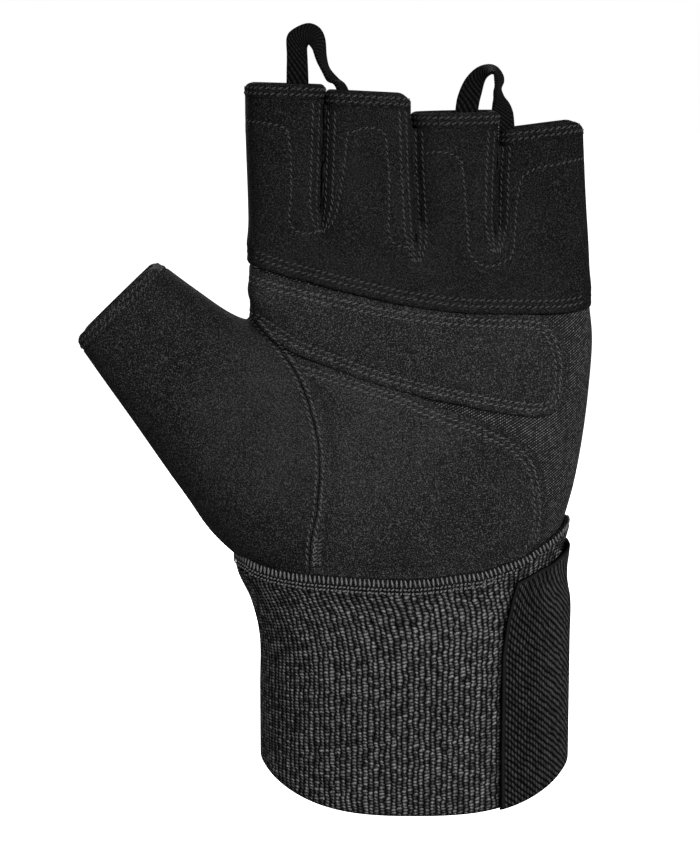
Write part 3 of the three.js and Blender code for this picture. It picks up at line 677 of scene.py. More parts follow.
def mark(bm, values):
    """Adds edges where the values, one for each of the mesh's vertices, pass zero."""
    crossings = []
    for edge in bm.edges:
        vert, other = edge.verts
        a, b = values[vert], values[other]
        if a * b < 0:
            crossings.append((edge, vert, a / (a - b)))
    fresh = [bmesh.utils.edge_split(edge, vert, share)[1] for edge, vert, share in crossings]
    bmesh.ops.connect_verts(bm, verts=fresh)
    return set(fresh)


def keep(bm, field):
    """Cuts the mesh where the field is zero, and keeps the side above zero."""
    values = dict(zip(bm.verts, field(positions(bm)).tolist()))
    well_below = [vert for vert, value in values.items() if value < -WELL_BELOW]
    for vert in well_below:
        del values[vert]
    bmesh.ops.delete(bm, geom=well_below, context="VERTS")
    mark(bm, values)
    below = [vert for vert, value in values.items() if value < 0]
    bmesh.ops.delete(bm, geom=below, context="VERTS")
    border = [vert for vert in bm.verts if vert.is_boundary]
    bmesh.ops.remove_doubles(bm, verts=border, dist=CRUMB)
    loose = [vert for vert in bm.verts if not vert.link_faces]
    bmesh.ops.delete(bm, geom=loose, context="VERTS")


def push(bm, field):
    """Moves the surface outwards by the field, in millimetres."""
    bm.normal_update()
    for vert, move in zip(bm.verts, field(positions(bm))):
        vert.co += vert.normal * float(move)
    bm.normal_update()


def slit(bm, number):
    """Parts the mesh along the line between two stalls, from the foot of their gap up."""
    points = positions(bm)
    gap = points[:, 0] - stall_edge(number + 1, points[:, 2])
    fresh = mark(bm, dict(zip(bm.verts, gap.tolist())))
    foot = CROTCH_HEIGHTS[number]
    edges = [edge for edge in bm.edges
             if all(vert in fresh and vert.co.z > foot for vert in edge.verts)]
    parted = bmesh.ops.split_edges(bm, edges=edges)["edges"]
    for vert in {vert for edge in parted for vert in edge.verts if vert.is_boundary}:
        middle = np.mean([face.calc_center_median().x for face in vert.link_faces])
        vert.co.x += math.copysign(SLIT_HALF_GAP, middle - vert.co.x)


finger_edge = smooth(FINGER_EDGE, SEAM_POINTS)
thumb_seam = smooth(THUMB_SEAM, SEAM_POINTS)
cuff_seam = smooth(CUFF_SEAM, SEAM_POINTS)
upper_pad_edge = smooth(UPPER_PAD_EDGE, PAD_POINTS)
heel_pad_edge = np.vstack([smooth(HEEL_PAD_EDGE[:-1], PAD_POINTS), HEEL_PAD_EDGE[-1:]])
wave_lines = [smooth(line, WAVE_POINTS) for line in WAVE_LINES]


def below_hems(points):
    """Height left to the lower edge of the hems, for places on the stalls."""
    left = np.full(len(points), CLEAR_OF_HEMS)
    reach = [HEM_REACH, 0, 0, 0, HEM_REACH]
    for number, finger in enumerate(FINGERS):
        low = stall_edge(number, points[:, 2]) - reach[number]
        high = stall_edge(number + 1, points[:, 2]) + reach[number + 1]
        mine = (points[:, 0] > low) & (points[:, 0] < high)
        top = opening_height(finger, points[:, 0], points[:, 1]) - HEM_HEIGHT
        left = np.where(mine, top - points[:, 2], left)
    return left


def along_thumb(points):
    """How far points lie from the thumb's opening, along the thumb."""
    return (points - np.array(THUMB_TIP)) @ np.array(THUMB_DOWN)


def palm_front(points):
    """1 on the palm side, falling to the sides' share of relief."""
    return SIDE_RELIEF + (1 - SIDE_RELIEF) * soft_step(-points[:, 1], *PALM_TURN)


def cover(form, *fields):
    """A copy of the form's surface, kept where all the fields are positive."""
    bm = form.copy()
    for field in fields:
        keep(bm, field)
    return bm


def finger_panel(form):
    """Suede over the upper palm and the front of the stalls, with a folded lower lip."""
    bm = cover(
        form,
        lambda points: PALM_SIDE - points[:, 1],
        lambda points: off_line(points, finger_edge),
        below_hems,
    )
    for number in range(3):
        slit(bm, number)

    def relief(points):
        edge = off_line(points, finger_edge)
        lip = LIP_RISE * folded(edge, FOLD_RADIUS) * (1 - soft_step(edge, *LIP_FADE))
        rows = sum(groove(edge - row, *LIP_GROOVE) for row in LIP_ROWS)
        for line in wave_lines:
            distance = off_line(points, line)
            rows += groove(distance, *WAVE_GROOVE) - groove(distance, *WAVE_SWELL)
        return (lip - rows) * palm_front(points)

    push(bm, relief)
    return bm


def back_panel(form):
    """Stretch cloth over the back, the little-finger side and the palm under the pads."""
    bm = cover(
        form,
        lambda points: off_line(points, thumb_seam),
        lambda points: np.maximum(
            FINGER_OVERLAP - off_line(points, finger_edge), points[:, 1] - PALM_SIDE),
        below_hems,
        lambda points: off_line(points, cuff_seam) + BACK_TUCK,
    )
    for number in range(3):
        slit(bm, number)
    push(bm, lambda points: np.full(len(points), -BACK_SINK))
    return bm


def thumb_panel(form):
    """Suede round the thumb and over its mound."""
    bm = cover(
        form,
        lambda points: -off_line(points, thumb_seam),
        lambda points: along_thumb(points) - HEM_HEIGHT + THUMB_HEM_PROUD,
        lambda points: off_line(points, cuff_seam) + THUMB_TUCK,
    )

    def relief(points):
        edge = -off_line(points, thumb_seam)
        return THUMB_RISE * folded(edge, THUMB_FOLD_RADIUS) - groove(
            edge - THUMB_ROW, *THUMB_GROOVE)

    push(bm, relief)
    return bm


def pad(form, outline, border, *fields):
    """A padded palm patch: a stitched border round a puffed middle."""
    bm = cover(form, lambda points: PAD_SIDE - points[:, 1],
               lambda points: inside(points, outline), *fields)

    def relief(points):
        edge = inside(points, outline)
        for field in fields:
            edge = np.minimum(edge, field(points))
        puff = PAD_PUFF * (1 - np.exp(-np.clip(edge - PAD_BORDER, 0, None) / PAD_CROWN))
        rows = sum(groove(edge - row, *PAD_GROOVE) for row in EDGE_ROWS)
        raised = border(points) * folded(edge, FOLD_RADIUS) + puff - rows
        return raised * palm_front(points)

    push(bm, relief)
    return bm


def upper_palm_pad(form):
    """The pad below the fingers. Its upper edge is tucked under the finger panel's lip."""

    def border(points):
        tucked = soft_step(off_line(points, finger_edge), *UPPER_TUCK_REACH)
        return UPPER_BORDER_RISE - UPPER_BORDER_TUCK * tucked

    return pad(form, upper_pad_edge, border, lambda points: off_line(points, thumb_seam))


def heel_pad(form):
    """The pad at the heel of the hand, between the thumb's seam and the cuff."""
    return pad(
        form,
        heel_pad_edge,
        lambda points: np.full(len(points), HEEL_BORDER_RISE),
        lambda points: off_line(points, thumb_seam) + SEAM_LAP,
        lambda points: off_line(points, cuff_seam) + HEEL_TUCK,
    )


def corner_fall(side, radius):
    """How far a rounded corner lies below its edge, at a distance in from its side."""
    short = np.clip(1 - side / radius, 0, 1)
    return radius * (1 - np.sqrt(1 - short**2))


def on_hem(finger, turn, drop, grow):
    """Places round a stall's hem, at a drop below its opening with rounded corners."""
    corner_left, corner_right = STALLS[finger][7:]
    number = FINGERS.index(finger)
    top = STALLS[finger][4]
    point = on_stall(finger, turn, top, grow)
    x, y = point[..., 0], point[..., 1]
    left, right = x - stall_edge(number, top), stall_edge(number + 1, top) - x
    fall = np.where(left < right, corner_fall(left, corner_left), corner_fall(right, corner_right))
    height = opening_height(finger, x, y) - np.maximum(drop, fall)
    return on_stall(finger, turn, height, grow)


def stall_hem(finger):
    """The folded band round a stall's opening."""
    return band(HEM_COLUMNS, HEM_PROFILE,
                lambda turn, drop, grow: on_hem(finger, turn, drop, grow - HEM_SINK))


def on_thumb_hem(turn, drop, grow):
    """Places round the thumb's hem, at a drop below its opening with rounded corners."""
    flat = on_thumb(turn, 1.0, FABRIC + grow)
    spread = np.abs((flat - np.array(THUMB_TIP)) @ np.array(THUMB_ACROSS))
    fall = corner_fall(THUMB_HEM_HALF * THUMB_WIDTH + FABRIC - spread, THUMB_HEM_CORNER)
    return on_thumb(turn, np.maximum(drop, fall) - THUMB_HEM_PROUD, FABRIC + grow)


def thumb_hem():
    """The folded band round the thumb's opening, flush with its suede."""
    return band(THUMB_HEM_COLUMNS, HEM_PROFILE,
                lambda turn, drop, grow: on_thumb_hem(turn, drop, grow + THUMB_HEM_GROW))


def fourchette(number):
    """The side walls and the crotch between two stalls, as one bent strip."""
    foot = CROTCH_HEIGHTS[number] - FOURCHETTE_SINK
    tops = [STALLS[finger][4] - FOURCHETTE_TOP_GAP for finger in FINGERS[number:number + 2]]
    bend, half = FOURCHETTE_BEND, FOURCHETTE_HALF_GAP

    def place(u, v):
        run = 2 * v - 1
        turn = np.clip(run / bend, -1, 1) * math.pi / 2
        rise = np.clip((np.abs(run) - bend) / (1 - bend), 0, 1)
        height = foot - half * np.cos(turn) + rise * (np.where(run < 0, *tops) - foot)
        lean = FOURCHETTE_LEAN * (1 - soft_step(height - foot, *FOURCHETTE_LEAN_END))
        x = stall_edge(number + 1, height) + half * np.sin(turn) - lean * (u - 0.5)
        return np.stack([x, (u - 0.5) * FOURCHETTE_DEPTH, height], axis=-1)

    bm = grid(*FOURCHETTE_FACES, place)
    bmesh.ops.solidify(bm, geom=bm.faces, thickness=FOURCHETTE_WALL)
    bmesh.ops.recalc_face_normals(bm, faces=bm.faces)
    return bm


CUFF_TURNS = np.linspace(-math.pi, math.pi, 2000)
CUFF_RUN = run_of(on_trunk(CUFF_TURNS, CUFF_MIDDLE, KNIT_GROW))


def rim_height(x):
    """The height of the cuff's lower rim, which rises towards the sides."""
    return RIM_RISE * np.minimum(1, np.abs(x) / RIM_REACH) ** RIM_POWER - RIM_SAG


def cuff_top(x):
    """The height of the seam that joins the cuff to the hand."""
    return np.interp(x, cuff_seam[:, 0], cuff_seam[:, 1])


def side_fill(turn, height):
    """Fills the hollow below the cuff's seam on the little-finger side."""
    share = soft_step(height, *SIDE_FILL_START) * (1 - soft_step(height, *SIDE_FILL_END))
    return SIDE_FILL * share * np.clip(np.cos(turn), 0, 1) ** 2


def side_tuck(turn):
    """How far the cuff's sewn edge is drawn in on the little-finger side."""
    return SIDE_TUCK * np.clip(np.cos(turn), 0, 1) ** 2


def cuff_elastic():
    """The ribbed knit cuff, with its turned lower edge."""

    def place(u, v):
        turn = np.interp(u * CUFF_RUN[-1], CUFF_RUN, CUFF_TURNS)
        x = on_trunk(turn, CUFF_MIDDLE, KNIT_GROW)[..., 0]
        low, high = rim_height(x), cuff_top(x) - CUFF_TOP_GAP
        height = swept((low, high), v)
        rib = RIB_RISE * np.abs(np.cos(math.pi * u * KNIT_RIBS)) - RIB_SINK
        rib *= soft_step(high - height, 0, RIB_FADE_TOP) * rounded(height - low, RIB_FADE_RIM)
        turned = RIM_TURN_IN * (1 - rounded(height - low, RIM_TURN_RADIUS))
        return on_trunk(turn, height, KNIT_GROW + rib - turned + side_fill(turn, height))

    return grid(KNIT_RIBS * KNIT_FACES[0], KNIT_FACES[1], place)


def on_binding(turn, drop, grow):
    """Places round the cuff's sewn edge, at a drop below its seam."""
    x = on_trunk(turn, BINDING_LEVEL, KNIT_GROW)[..., 0]
    return on_trunk(turn, cuff_top(x) - drop, KNIT_GROW + grow - side_tuck(turn))


def cuff_binding():
    """The narrow sewn band where the cuff meets the palm."""
    return band(BINDING_COLUMNS, BINDING_PROFILE, on_binding)


def turn_at(x, height, side):
    """The turn at which the strap's ring is at a place across, in front (-1) or behind (1)."""
    left, right, _, _, square = TRUNK.at(height)
    across = (x - (left + right) / 2) / ((right - left) / 2 + STRAP_GROW)
    cosine = np.sign(across) * np.abs(across) ** (square / 2)
    return side * np.arccos(np.clip(cosine, -1, 1))


def wrist_strap():
    """The strap from its sewn edge on the palm side, round the side, to its squared end."""

    def place(u, v):
        height = swept(STRAP_SPAN, v)
        first = turn_at(np.interp(height, *zip(*STRAP_START)), height, -1)
        last = turn_at(STRAP_END, height, 1)
        start, end = (np.interp(turn, CUFF_TURNS, CUFF_RUN) for turn in (first, last))
        turn = np.interp(start + (end - start) * u, CUFF_RUN, CUFF_TURNS)
        x = on_trunk(turn, height, STRAP_GROW)[..., 0]
        low = rim_height(x)
        high = cuff_top(x) - STRAP_DROP - STRAP_SIDE_DROP * soft_step(x, *STRAP_SIDE_REACH)
        height = swept((low, high), v)
        from_ends = (end - start) * np.minimum(u, 1 - u)
        from_sides = (high - low) * np.minimum(v, 1 - v)
        fold = sum(STRAP_FOLD * (1 - rounded(edge, STRAP_FOLD_RADIUS))
                   for edge in (from_ends, from_sides))
        return on_trunk(turn, height, STRAP_GROW - fold + side_fill(turn, height))

    return grid(*STRAP_FACES, place)


def pull_tab(rows):
    """A ribbon between its two edges."""
    edges = [through([row[side] for row in rows]) for side in (0, 1)]
    steps = np.arange(len(edges[0])) / (len(edges[0]) - 1)

    def place(u, v):
        outer, inner = (
            np.stack([np.interp(v, steps, axis) for axis in edge.T], axis=-1) for edge in edges)
        point = outer + u[:, None] * (inner - outer)
        return point[:, [0, 2, 1]]

    return grid(*TAB_FACES, place)


def project(line, surface):
    """The line, given as (across, height), laid on a surface from the palm side, with normals."""
    points, normals = [], []
    for x, z in spaced(line, LAID_POINTS):
        point, normal, _, _ = surface.ray_cast(Vector((x, IN_FRONT, z)), Vector((0, 1, 0)))
        if point is not None:
            points.append(point)
            normals.append(normal)
    return np.array(points), np.array(normals)


def stitch_row(points, normals, size=STITCH, pitch=STITCH_PITCH, slant=STITCH_SLANT,
               sway=STITCH_SWAY, across=False):
    """A row of stitches along places on a surface. across lays each one across the row."""
    run = run_of(points)
    count = max(2, round(run[-1] / pitch))
    stretches = [bmesh.new() for _ in range(0, count, STITCH_BATCH)]
    for number, at in enumerate((np.arange(count) + 0.5) / count * run[-1]):
        place, normal = (
            Vector([np.interp(at, run, axis) for axis in rows.T]) for rows in (points, normals))
        ahead, behind = (
            Vector([np.interp(at + reach, run, axis) for axis in points.T])
            for reach in (STITCH_REACH, -STITCH_REACH))
        normal.normalize()
        way = ahead - behind
        if across:
            way = way.cross(normal)
        side = normal.cross(way).normalized()
        stance = Matrix((side.cross(normal), side, normal)).transposed().to_4x4()
        stance.translation = place + normal * STITCH_LIFT
        turn = Matrix.Rotation(slant + sway * math.sin(SWAY_STEP * number), 4, "Z")
        shape = stance @ turn @ Matrix.Diagonal((*size, 1)) @ Matrix.Rotation(math.pi / 2, 4, "Y")
        bmesh.ops.create_uvsphere(
            stretches[number // STITCH_BATCH], u_segments=STITCH_FACES[0],
            v_segments=STITCH_FACES[1], radius=1, matrix=shape)
    return join(stretches)


def rows_on(surface, lines, **options):
    """Rows of stitches along lines laid on a surface from the palm side."""
    return [stitch_row(*project(line, surface), **options) for line in lines]


def between(line, low, high):
    """The part of a line whose places across lie between two values."""
    return line[(line[:, 0] > low) & (line[:, 0] < high)]


def fourchette_rows(number):
    """Double rows down both sides of a gap between stalls, meeting below its foot."""
    foot = CROTCH_HEIGHTS[number] - GAP_FOOT_DROP
    lines = []
    for side, finger in ((-1, FINGERS[number]), (1, FINGERS[number + 1])):
        height = np.linspace(foot, STALLS[finger][4] - HEM_HEIGHT - GAP_TOP_GAP, GAP_ROW_POINTS)
        opened = np.sqrt(np.clip((height - foot + GAP_FOOT_OPEN) / GAP_FOOT_HEIGHT, 0, 1))
        for offset in GAP_ROWS:
            x = stall_edge(number + 1, height) + side * offset * opened
            lines.append(np.stack([x, height], axis=1))
    return lines


def ring_rows(place, drops, arcs, **options):
    """Rows of stitches round a hem or cuff; place(turn, drop) gives the places."""
    rows = []
    for drop in drops:
        for arc in arcs:
            turns = np.linspace(*arc, LAID_POINTS)
            points = place(turns, drop)
            way = np.gradient(points, axis=0)
            up = place(turns, drop - RING_REACH) - place(turns, drop + RING_REACH)
            rows.append(stitch_row(points, np.cross(way, up), **options))
    return rows


class Value:
    """A number that varies over a surface; its operators add Math nodes."""

    def __init__(self, paint, socket):
        self.paint = paint
        self.socket = socket

    def math(self, operation, *others):
        sockets = dict(enumerate((self, *others)))
        return self.paint.node("Math", {"operation": operation}, sockets)

    def __add__(self, other):
        return self.math("ADD", other)

    def __sub__(self, other):
        return self.math("SUBTRACT", other)

    def __rsub__(self, other):
        return self * -1 + other

    def __mul__(self, other):
        return self.math("MULTIPLY", other)

    def __truediv__(self, other):
        return self.math("DIVIDE", other)

    __radd__ = __add__
    __rmul__ = __mul__

    def whole(self):
        return self.math("FLOOR")

    def least(self, other):
        return self.math("MINIMUM", other)

    def hump(self):
        """1 in the middle of each unit step and 0 at its ends, as a smooth wave."""
        return 0.5 - 0.5 * (self * (2 * math.pi)).math("COSINE")

    def between(self, low, high):
        """0 up to low and 1 from high on, with a smooth rise."""
        sockets = {"Value": self, "From Min": low, "From Max": high}
        return self.paint.node("MapRange", {"interpolation_type": "SMOOTHSTEP"}, sockets)


class Paint:
    """A material whose nodes are added one at a time."""

    def __init__(self, name, specular):
        self.material = bpy.data.materials.new(name)
        self.material.use_nodes = True
        self.tree = self.material.node_tree
        self.shader = self.tree.nodes["Principled BSDF"]
        self.shader.inputs["Specular IOR Level"].default_value = specular

    def node(self, kind, settings, sockets, output=0):
        made = self.tree.nodes.new("ShaderNode" + kind)
        for setting, value in settings.items():
            setattr(made, setting, value)
        for socket, value in sockets.items():
            self.feed(made.inputs[socket], value)
        return Value(self, made.outputs[output])

    def feed(self, socket, value):
        if isinstance(value, Value):
            self.tree.links.new(value.socket, socket)
        else:
            socket.default_value = value

    def place(self):
        return self.node("TexCoord", {}, {}, "Object")

    def weave(self):
        """Across and along the piece's own weave, each from 0 to 1."""
        laid = self.node("UVMap", {"uv_map": "weave"}, {})
        return self.parts(laid)[:2]

    def parts(self, vector):
        return [self.node("SeparateXYZ", {}, {0: vector}, axis) for axis in range(3)]

    def point(self, x, y, z=0.0):
        return self.node("CombineXYZ", {}, {"X": x, "Y": y, "Z": z})

    def noise(self, vector, size, detail=2.0):
        """Soft blotches of a size in millimetres, from 0 to 1."""
        sockets = {"Vector": vector, "Scale": 1000 / size, "Detail": detail, "Roughness": 0.6}
        return self.node("TexNoise", {}, sockets).between(0.25, 0.75)

    def speckle(self, vector):
        """A number of its own for each whole step of a place."""
        return self.node("TexWhiteNoise", {"noise_dimensions": "3D"}, {"Vector": vector})

    def colour(self, greys, share):
        """The greys between the darkest, where the share is 0, and the lightest, where it is 1."""
        dark, light = (grey(level) for level in greys)
        sockets = {"Factor": share, 6: (*dark, 1), 7: (*light, 1)}
        return self.node("Mix", {"data_type": "RGBA"}, sockets, 2)

    def finish(self, colour, roughness, height, depth):
        """Joins colour, roughness and relief, whose depth is in millimetres, to the shader."""
        bump = self.node("Bump", {}, {"Height": height, "Distance": depth * MILLIMETRE,
                                      "Strength": 1.0})
        self.feed(self.shader.inputs["Base Color"], colour)
        self.feed(self.shader.inputs["Roughness"], roughness)
        self.feed(self.shader.inputs["Normal"], bump)
        return self.material


def grey(level):
    """A near-black grey, a touch cool."""
    return (level, level, level * 1.02)


def suede(name, tone, light_pool):
    """Brushed suede: a short nap with light specks, cloudy brushing and a painted pool of light, a
    paler place.
    """
    paint = Paint(name, specular=0.03)
    place = paint.place()
    nap = paint.noise(place, NAP_SIZE, 3.0)
    tips = paint.noise(place, TIP_SIZE, 1.0).between(0.62, 0.86)
    clouds = paint.noise(place, CLOUD_SIZE, 3.0)
    # Painted light: each suede is paler in a round place, a painted pool of light where the light
    # falls brightest.
    across, height, radius, strength = light_pool
    x, _, z = paint.parts(place)
    sideways = (x * (1 / MILLIMETRE) - across) / radius
    upwards = (z * (1 / MILLIMETRE) - height) / radius
    pool_of_light = 1 - (sideways * sideways + upwards * upwards).between(*LIGHT_POOL_FADE)
    # The clouds are the suede's own brushed tone; the pool of light laid over them is painted
    # light.
    brushing_and_light = (0.62 + 0.4 * clouds) * (0.8 + strength * pool_of_light)
    share = (0.02 + 0.27 * nap + 1.7 * tips) * brushing_and_light
    colour = paint.colour([level * tone for level in SUEDE_RANGE], share)
    return paint.finish(colour, 0.96 - 0.12 * nap, nap + 0.5 * tips, SUEDE_RELIEF)


def stretch_cloth():
    """Stretch cloth with fine slanted ribs, each broken into small beads."""
    paint = Paint("stretch", specular=0.06)
    x, y, z = paint.parts(paint.place())
    across = (x + 0.8 * y) * (1 / MILLIMETRE)
    height = z * (1 / MILLIMETRE)
    cosine, sine = math.cos(TWILL_ANGLE), math.sin(TWILL_ANGLE)
    ribs = (height * cosine - across * sine) / TWILL_PITCH
    beads = (across * cosine + height * sine) / TWILL_BEAD
    shift = beads + 0.5 * ribs.whole()
    own = paint.speckle(paint.point(ribs.whole(), shift.whole()))
    knots = ribs.hump() * (0.35 + 0.65 * shift.hump()) * (0.5 + 0.8 * own)
    clouds = paint.noise(paint.place(), STRETCH_CLOUD_SIZE)
    colour = paint.colour(STRETCH_GREYS, knots * knots * (0.55 + 0.4 * clouds))
    return paint.finish(colour, 0.72 - 0.15 * knots, knots, STRETCH_RELIEF)


def knit():
    """Ribbed knit: columns of loops, with painted shade in their gaps and painted sheen on their
    bright, irregular yarn tips.
    """
    paint = Paint("knit", specular=0.02)
    u, v = paint.weave()
    wander = paint.noise(paint.place(), KNIT_WANDER_SIZE) - 0.5
    column = u * KNIT_RIBS + 0.45 * wander
    row = v * KNIT_ROWS + 0.5 * column.whole() + 0.5 * wander
    own = paint.speckle(paint.point(column.whole(), row.whole()))
    yarn = paint.noise(paint.place(), YARN_SIZE)
    # Painted light: each loop is lightest at its crown and darkens towards its gaps, a painted
    # sheen on the yarn and painted shade between the loops; the random tone of each loop is the
    # yarn's own.
    loops = column.hump() * (0.12 + 0.88 * row.hump()) * (0.25 + 1.1 * own)
    packed = v.between(0.93, 0.97)
    share = loops * (0.3 + 1.2 * yarn) * (1 - 0.3 * packed)
    colour = paint.colour(KNIT_GREYS, share)
    relief = column.hump() + 0.5 * row.hump()
    return paint.finish(colour, 0.85 - 0.2 * share, relief, KNIT_RELIEF)


def strap_cloth():
    """The strap's woven face: slanted cords broken by upright ones, smooth selvages and a painted
    shadow line along its edges.
    """
    paint = Paint("strap_mesh", specular=0.01)
    u, v = paint.weave()
    run, height = u * STRAP_LENGTH, v * STRAP_WIDTH
    wander = paint.noise(paint.place(), STRAP_WANDER_SIZE) - 0.5
    slanted = (height + run * CORD_SLANT) / CORD_PITCH + 0.3 * wander
    upright = run / CORD_COLUMN + 0.25 * wander
    own = paint.speckle(paint.point(slanted.whole(), upright.whole()))
    ladder = 0.9 - 0.6 * run.between(*LADDER_REACH)
    face = slanted.hump() * (1 - ladder * (1 - upright.hump())) * (0.45 + 0.8 * own)
    rim = run.least((1 - v) * STRAP_WIDTH)
    selvage = 1 - rim.between(*SELVAGE)
    share = face * (1 - selvage) + SELVAGE_SHADE * selvage
    # Painted shadow: the colour falls to black within 0.6 mm of the strap's sewn start and its top
    # edge, a painted shadow line where the edge lies on the knit.
    edge_shadow = rim.between(0.1, 0.6)
    colour = paint.colour(STRAP_GREYS, share * edge_shadow)
    return paint.finish(colour, 0.7 - 0.15 * share, share, STRAP_RELIEF)


def webbing():
    """Narrow ribbon with a slanted weave."""
    paint = Paint("webbing", specular=0.04)
    u, v = paint.weave()
    slant = v * RIBBON_ROWS + RIBBON_SLANT * u
    back = v * RIBBON_ROWS - RIBBON_SLANT * u
    face = slant.hump() * (0.5 + 0.5 * back.hump())
    dust = paint.noise(paint.place(), DUST_SIZE)
    colour = paint.colour(RIBBON_GREYS, face * (0.4 + 0.9 * dust))
    return paint.finish(colour, 0.75 - 0.1 * face, face, RIBBON_RELIEF)


def sewing_thread(name, tone):
    """Twisted sewing thread, painted lighter than its own black as a painted sheen."""
    paint = Paint(name, specular=0.1)
    strands = paint.noise(paint.place(), STRAND_SIZE)
    colour = paint.colour([level * tone for level in THREAD_RANGE], strands)
    return paint.finish(colour, 0.7 - 0.15 * strands, strands, THREAD_RELIEF)


def front_surface(*panels):
    """The panels' outside as one surface, for laying stitches on."""
    copies = join([panel.copy() for panel in panels])
    surface = BVHTree.FromBMesh(copies)
    copies.free()
    return surface


def palm_stitches(surface):
    """The rows round the pads and along the thumb's seam, with the tack at its foot."""
    lines = []
    for row in EDGE_ROWS:
        for outline in (upper_pad_edge, heel_pad_edge[:-1]):
            line = beside(outline, -row)
            flat = np.stack([line[:, 0], 0 * line[:, 0], line[:, 1]], axis=1)
            shown = (
                (off_line(flat, thumb_seam) > SEAM_CLEAR)
                & (off_line(flat, finger_edge) < -LIP_CLEAR)
                & (off_line(flat, cuff_seam) > CUFF_CLEAR)
            )
            lines.append(line[shown])
    seam = thumb_seam[
        (thumb_seam[:, 0] > THUMB_SEAM_START) & (thumb_seam[:, 1] > THUMB_SEAM_FOOT)]
    lines += [beside(seam, side) for side in (-THUMB_ROW, THUMB_ROW)]
    tacks = [np.array(BAR_TACK) + (side * TACK_OFFSET, 0) for side in (-1, 1)]
    return join(rows_on(surface, lines) + rows_on(surface, tacks, pitch=TACK_PITCH, across=True))


def finger_stitches(surface):
    """The rows along the finger panel's lip, beside the gaps and along its wavy seams."""
    rows = rows_on(surface, [between(beside(finger_edge, row), *LIP_ENDS) for row in LIP_ROWS])
    for number in range(3):
        rows += rows_on(surface, fourchette_rows(number))
    rows += rows_on(surface, wave_lines, size=SINGLE_STITCH)
    return join(rows)


def hem_stitches():
    """The double rows round the openings of the stalls and the thumb."""
    rows = []
    for finger in STALLS:
        rows += ring_rows(lambda turn, drop: on_hem(finger, turn, drop, HEM_STITCH_GROW),
                          HEM_ROWS, HEM_ARCS[finger])
    rows += ring_rows(lambda turn, drop: on_thumb_hem(turn, drop, THUMB_STITCH_GROW),
                      HEM_ROWS, WHOLE_TURN)
    return join(rows)


def overlock_stitches():
    """Upright stitches over the cuff's sewn band, and the loops packed below them."""

    def place(turn, drop):
        return on_binding(turn, drop, BINDING_PROUD)

    upright = ring_rows(place, OVERLOCK_ROWS, WHOLE_TURN, size=OVERLOCK_STITCH,
                        pitch=OVERLOCK_PITCH, slant=OVERLOCK_SLANT, sway=OVERLOCK_SWAY,
                        across=True)
    loops = ring_rows(place, LOOP_ROWS, WHOLE_TURN, size=LOOP_STITCH, pitch=LOOP_PITCH,
                      sway=LOOP_SWAY)
    return join(upright + loops)


def add_piece(name, bm, material, slot, *nodes, wall=0.0, offset=-1.0, bevel=0.0):
    """Finishes a piece of the glove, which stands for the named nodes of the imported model."""
    piece = to_object(name, bm, MILLIMETRE)
    if wall:
        thickness = piece.modifiers.new("wall", "SOLIDIFY")
        thickness.thickness = wall * MILLIMETRE
        thickness.offset = offset
    if bevel:
        edges = piece.modifiers.new("edges", "BEVEL")
        edges.width = bevel * MILLIMETRE
        edges.segments = 2
        edges.limit_method = "ANGLE"
        edges.angle_limit = BEVEL_ANGLE
    piece.data.materials.append(material)
    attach(piece, "root")
    if nodes:
        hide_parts(*nodes)
    return piece


def add_light(name, place, aim, size, power):
    data = bpy.data.lights.new(name, "AREA")
    data.shape = "DISK"
    data.size = size
    data.energy = power
    light = bpy.data.objects.new(name, data)
    light.location = place
    light.rotation_euler = (Vector(aim) - light.location).to_track_quat("-Z", "Y").to_euler()
    bpy.context.scene.collection.objects.link(light)


def add_camera():
    data = bpy.data.cameras.new("camera")
    data.sensor_width = SENSOR_WIDTH
    data.lens = SENSOR_WIDTH * PHOTO_FOCUS / PHOTO_HEIGHT
    camera = bpy.data.objects.new("camera", data)
    bpy.context.scene.collection.objects.link(camera)
    back = Vector((0, -math.cos(CAMERA_RISE), math.sin(CAMERA_RISE)))
    camera.location = Vector(CAMERA_TARGET) + CAMERA_DISTANCE * back
    camera.rotation_euler = (math.pi / 2 - CAMERA_RISE, 0, 0)
    bpy.context.scene.camera = camera


def add_studio():
    """Soft light all round, a white backdrop for the camera, the lamps and a pale floor."""
    world = bpy.data.worlds.new("studio")
    bpy.context.scene.world = world
    world.use_nodes = True
    nodes, links = world.node_tree.nodes, world.node_tree.links
    fill = nodes["Background"]
    fill.inputs["Color"].default_value = WHITE
    fill.inputs["Strength"].default_value = FILL_LIGHT
    backdrop = nodes.new("ShaderNodeBackground")
    backdrop.inputs["Color"].default_value = WHITE
    seen = nodes.new("ShaderNodeLightPath")
    mix = nodes.new("ShaderNodeMixShader")
    links.new(seen.outputs["Is Camera Ray"], mix.inputs["Fac"])
    links.new(fill.outputs[0], mix.inputs[1])
    links.new(backdrop.outputs[0], mix.inputs[2])
    links.new(mix.outputs[0], nodes["World Output"].inputs["Surface"])
    bpy.context.scene.view_settings.view_transform = "Standard"
    for light in LIGHTS:
        add_light(*light)
    bm = bmesh.new()
    bmesh.ops.create_circle(bm, cap_ends=True, segments=FLOOR_COLUMNS, radius=FLOOR_RADIUS)
    bmesh.ops.translate(bm, verts=bm.verts, vec=(0, 0, FLOOR_HEIGHT))
    floor = to_object("floor", bm)
    paint = Paint("floor", specular=0.0)
    sockets = {"Base Color": FLOOR_COLOUR, "Roughness": 1.0, "Emission Color": WHITE,
               "Emission Strength": FLOOR_GLOW}
    for socket, value in sockets.items():
        paint.feed(paint.shader.inputs[socket], value)
    floor.data.materials.append(paint.material)
    floor.visible_diffuse = False
    floor.visible_glossy = False
    floor.visible_shadow = False


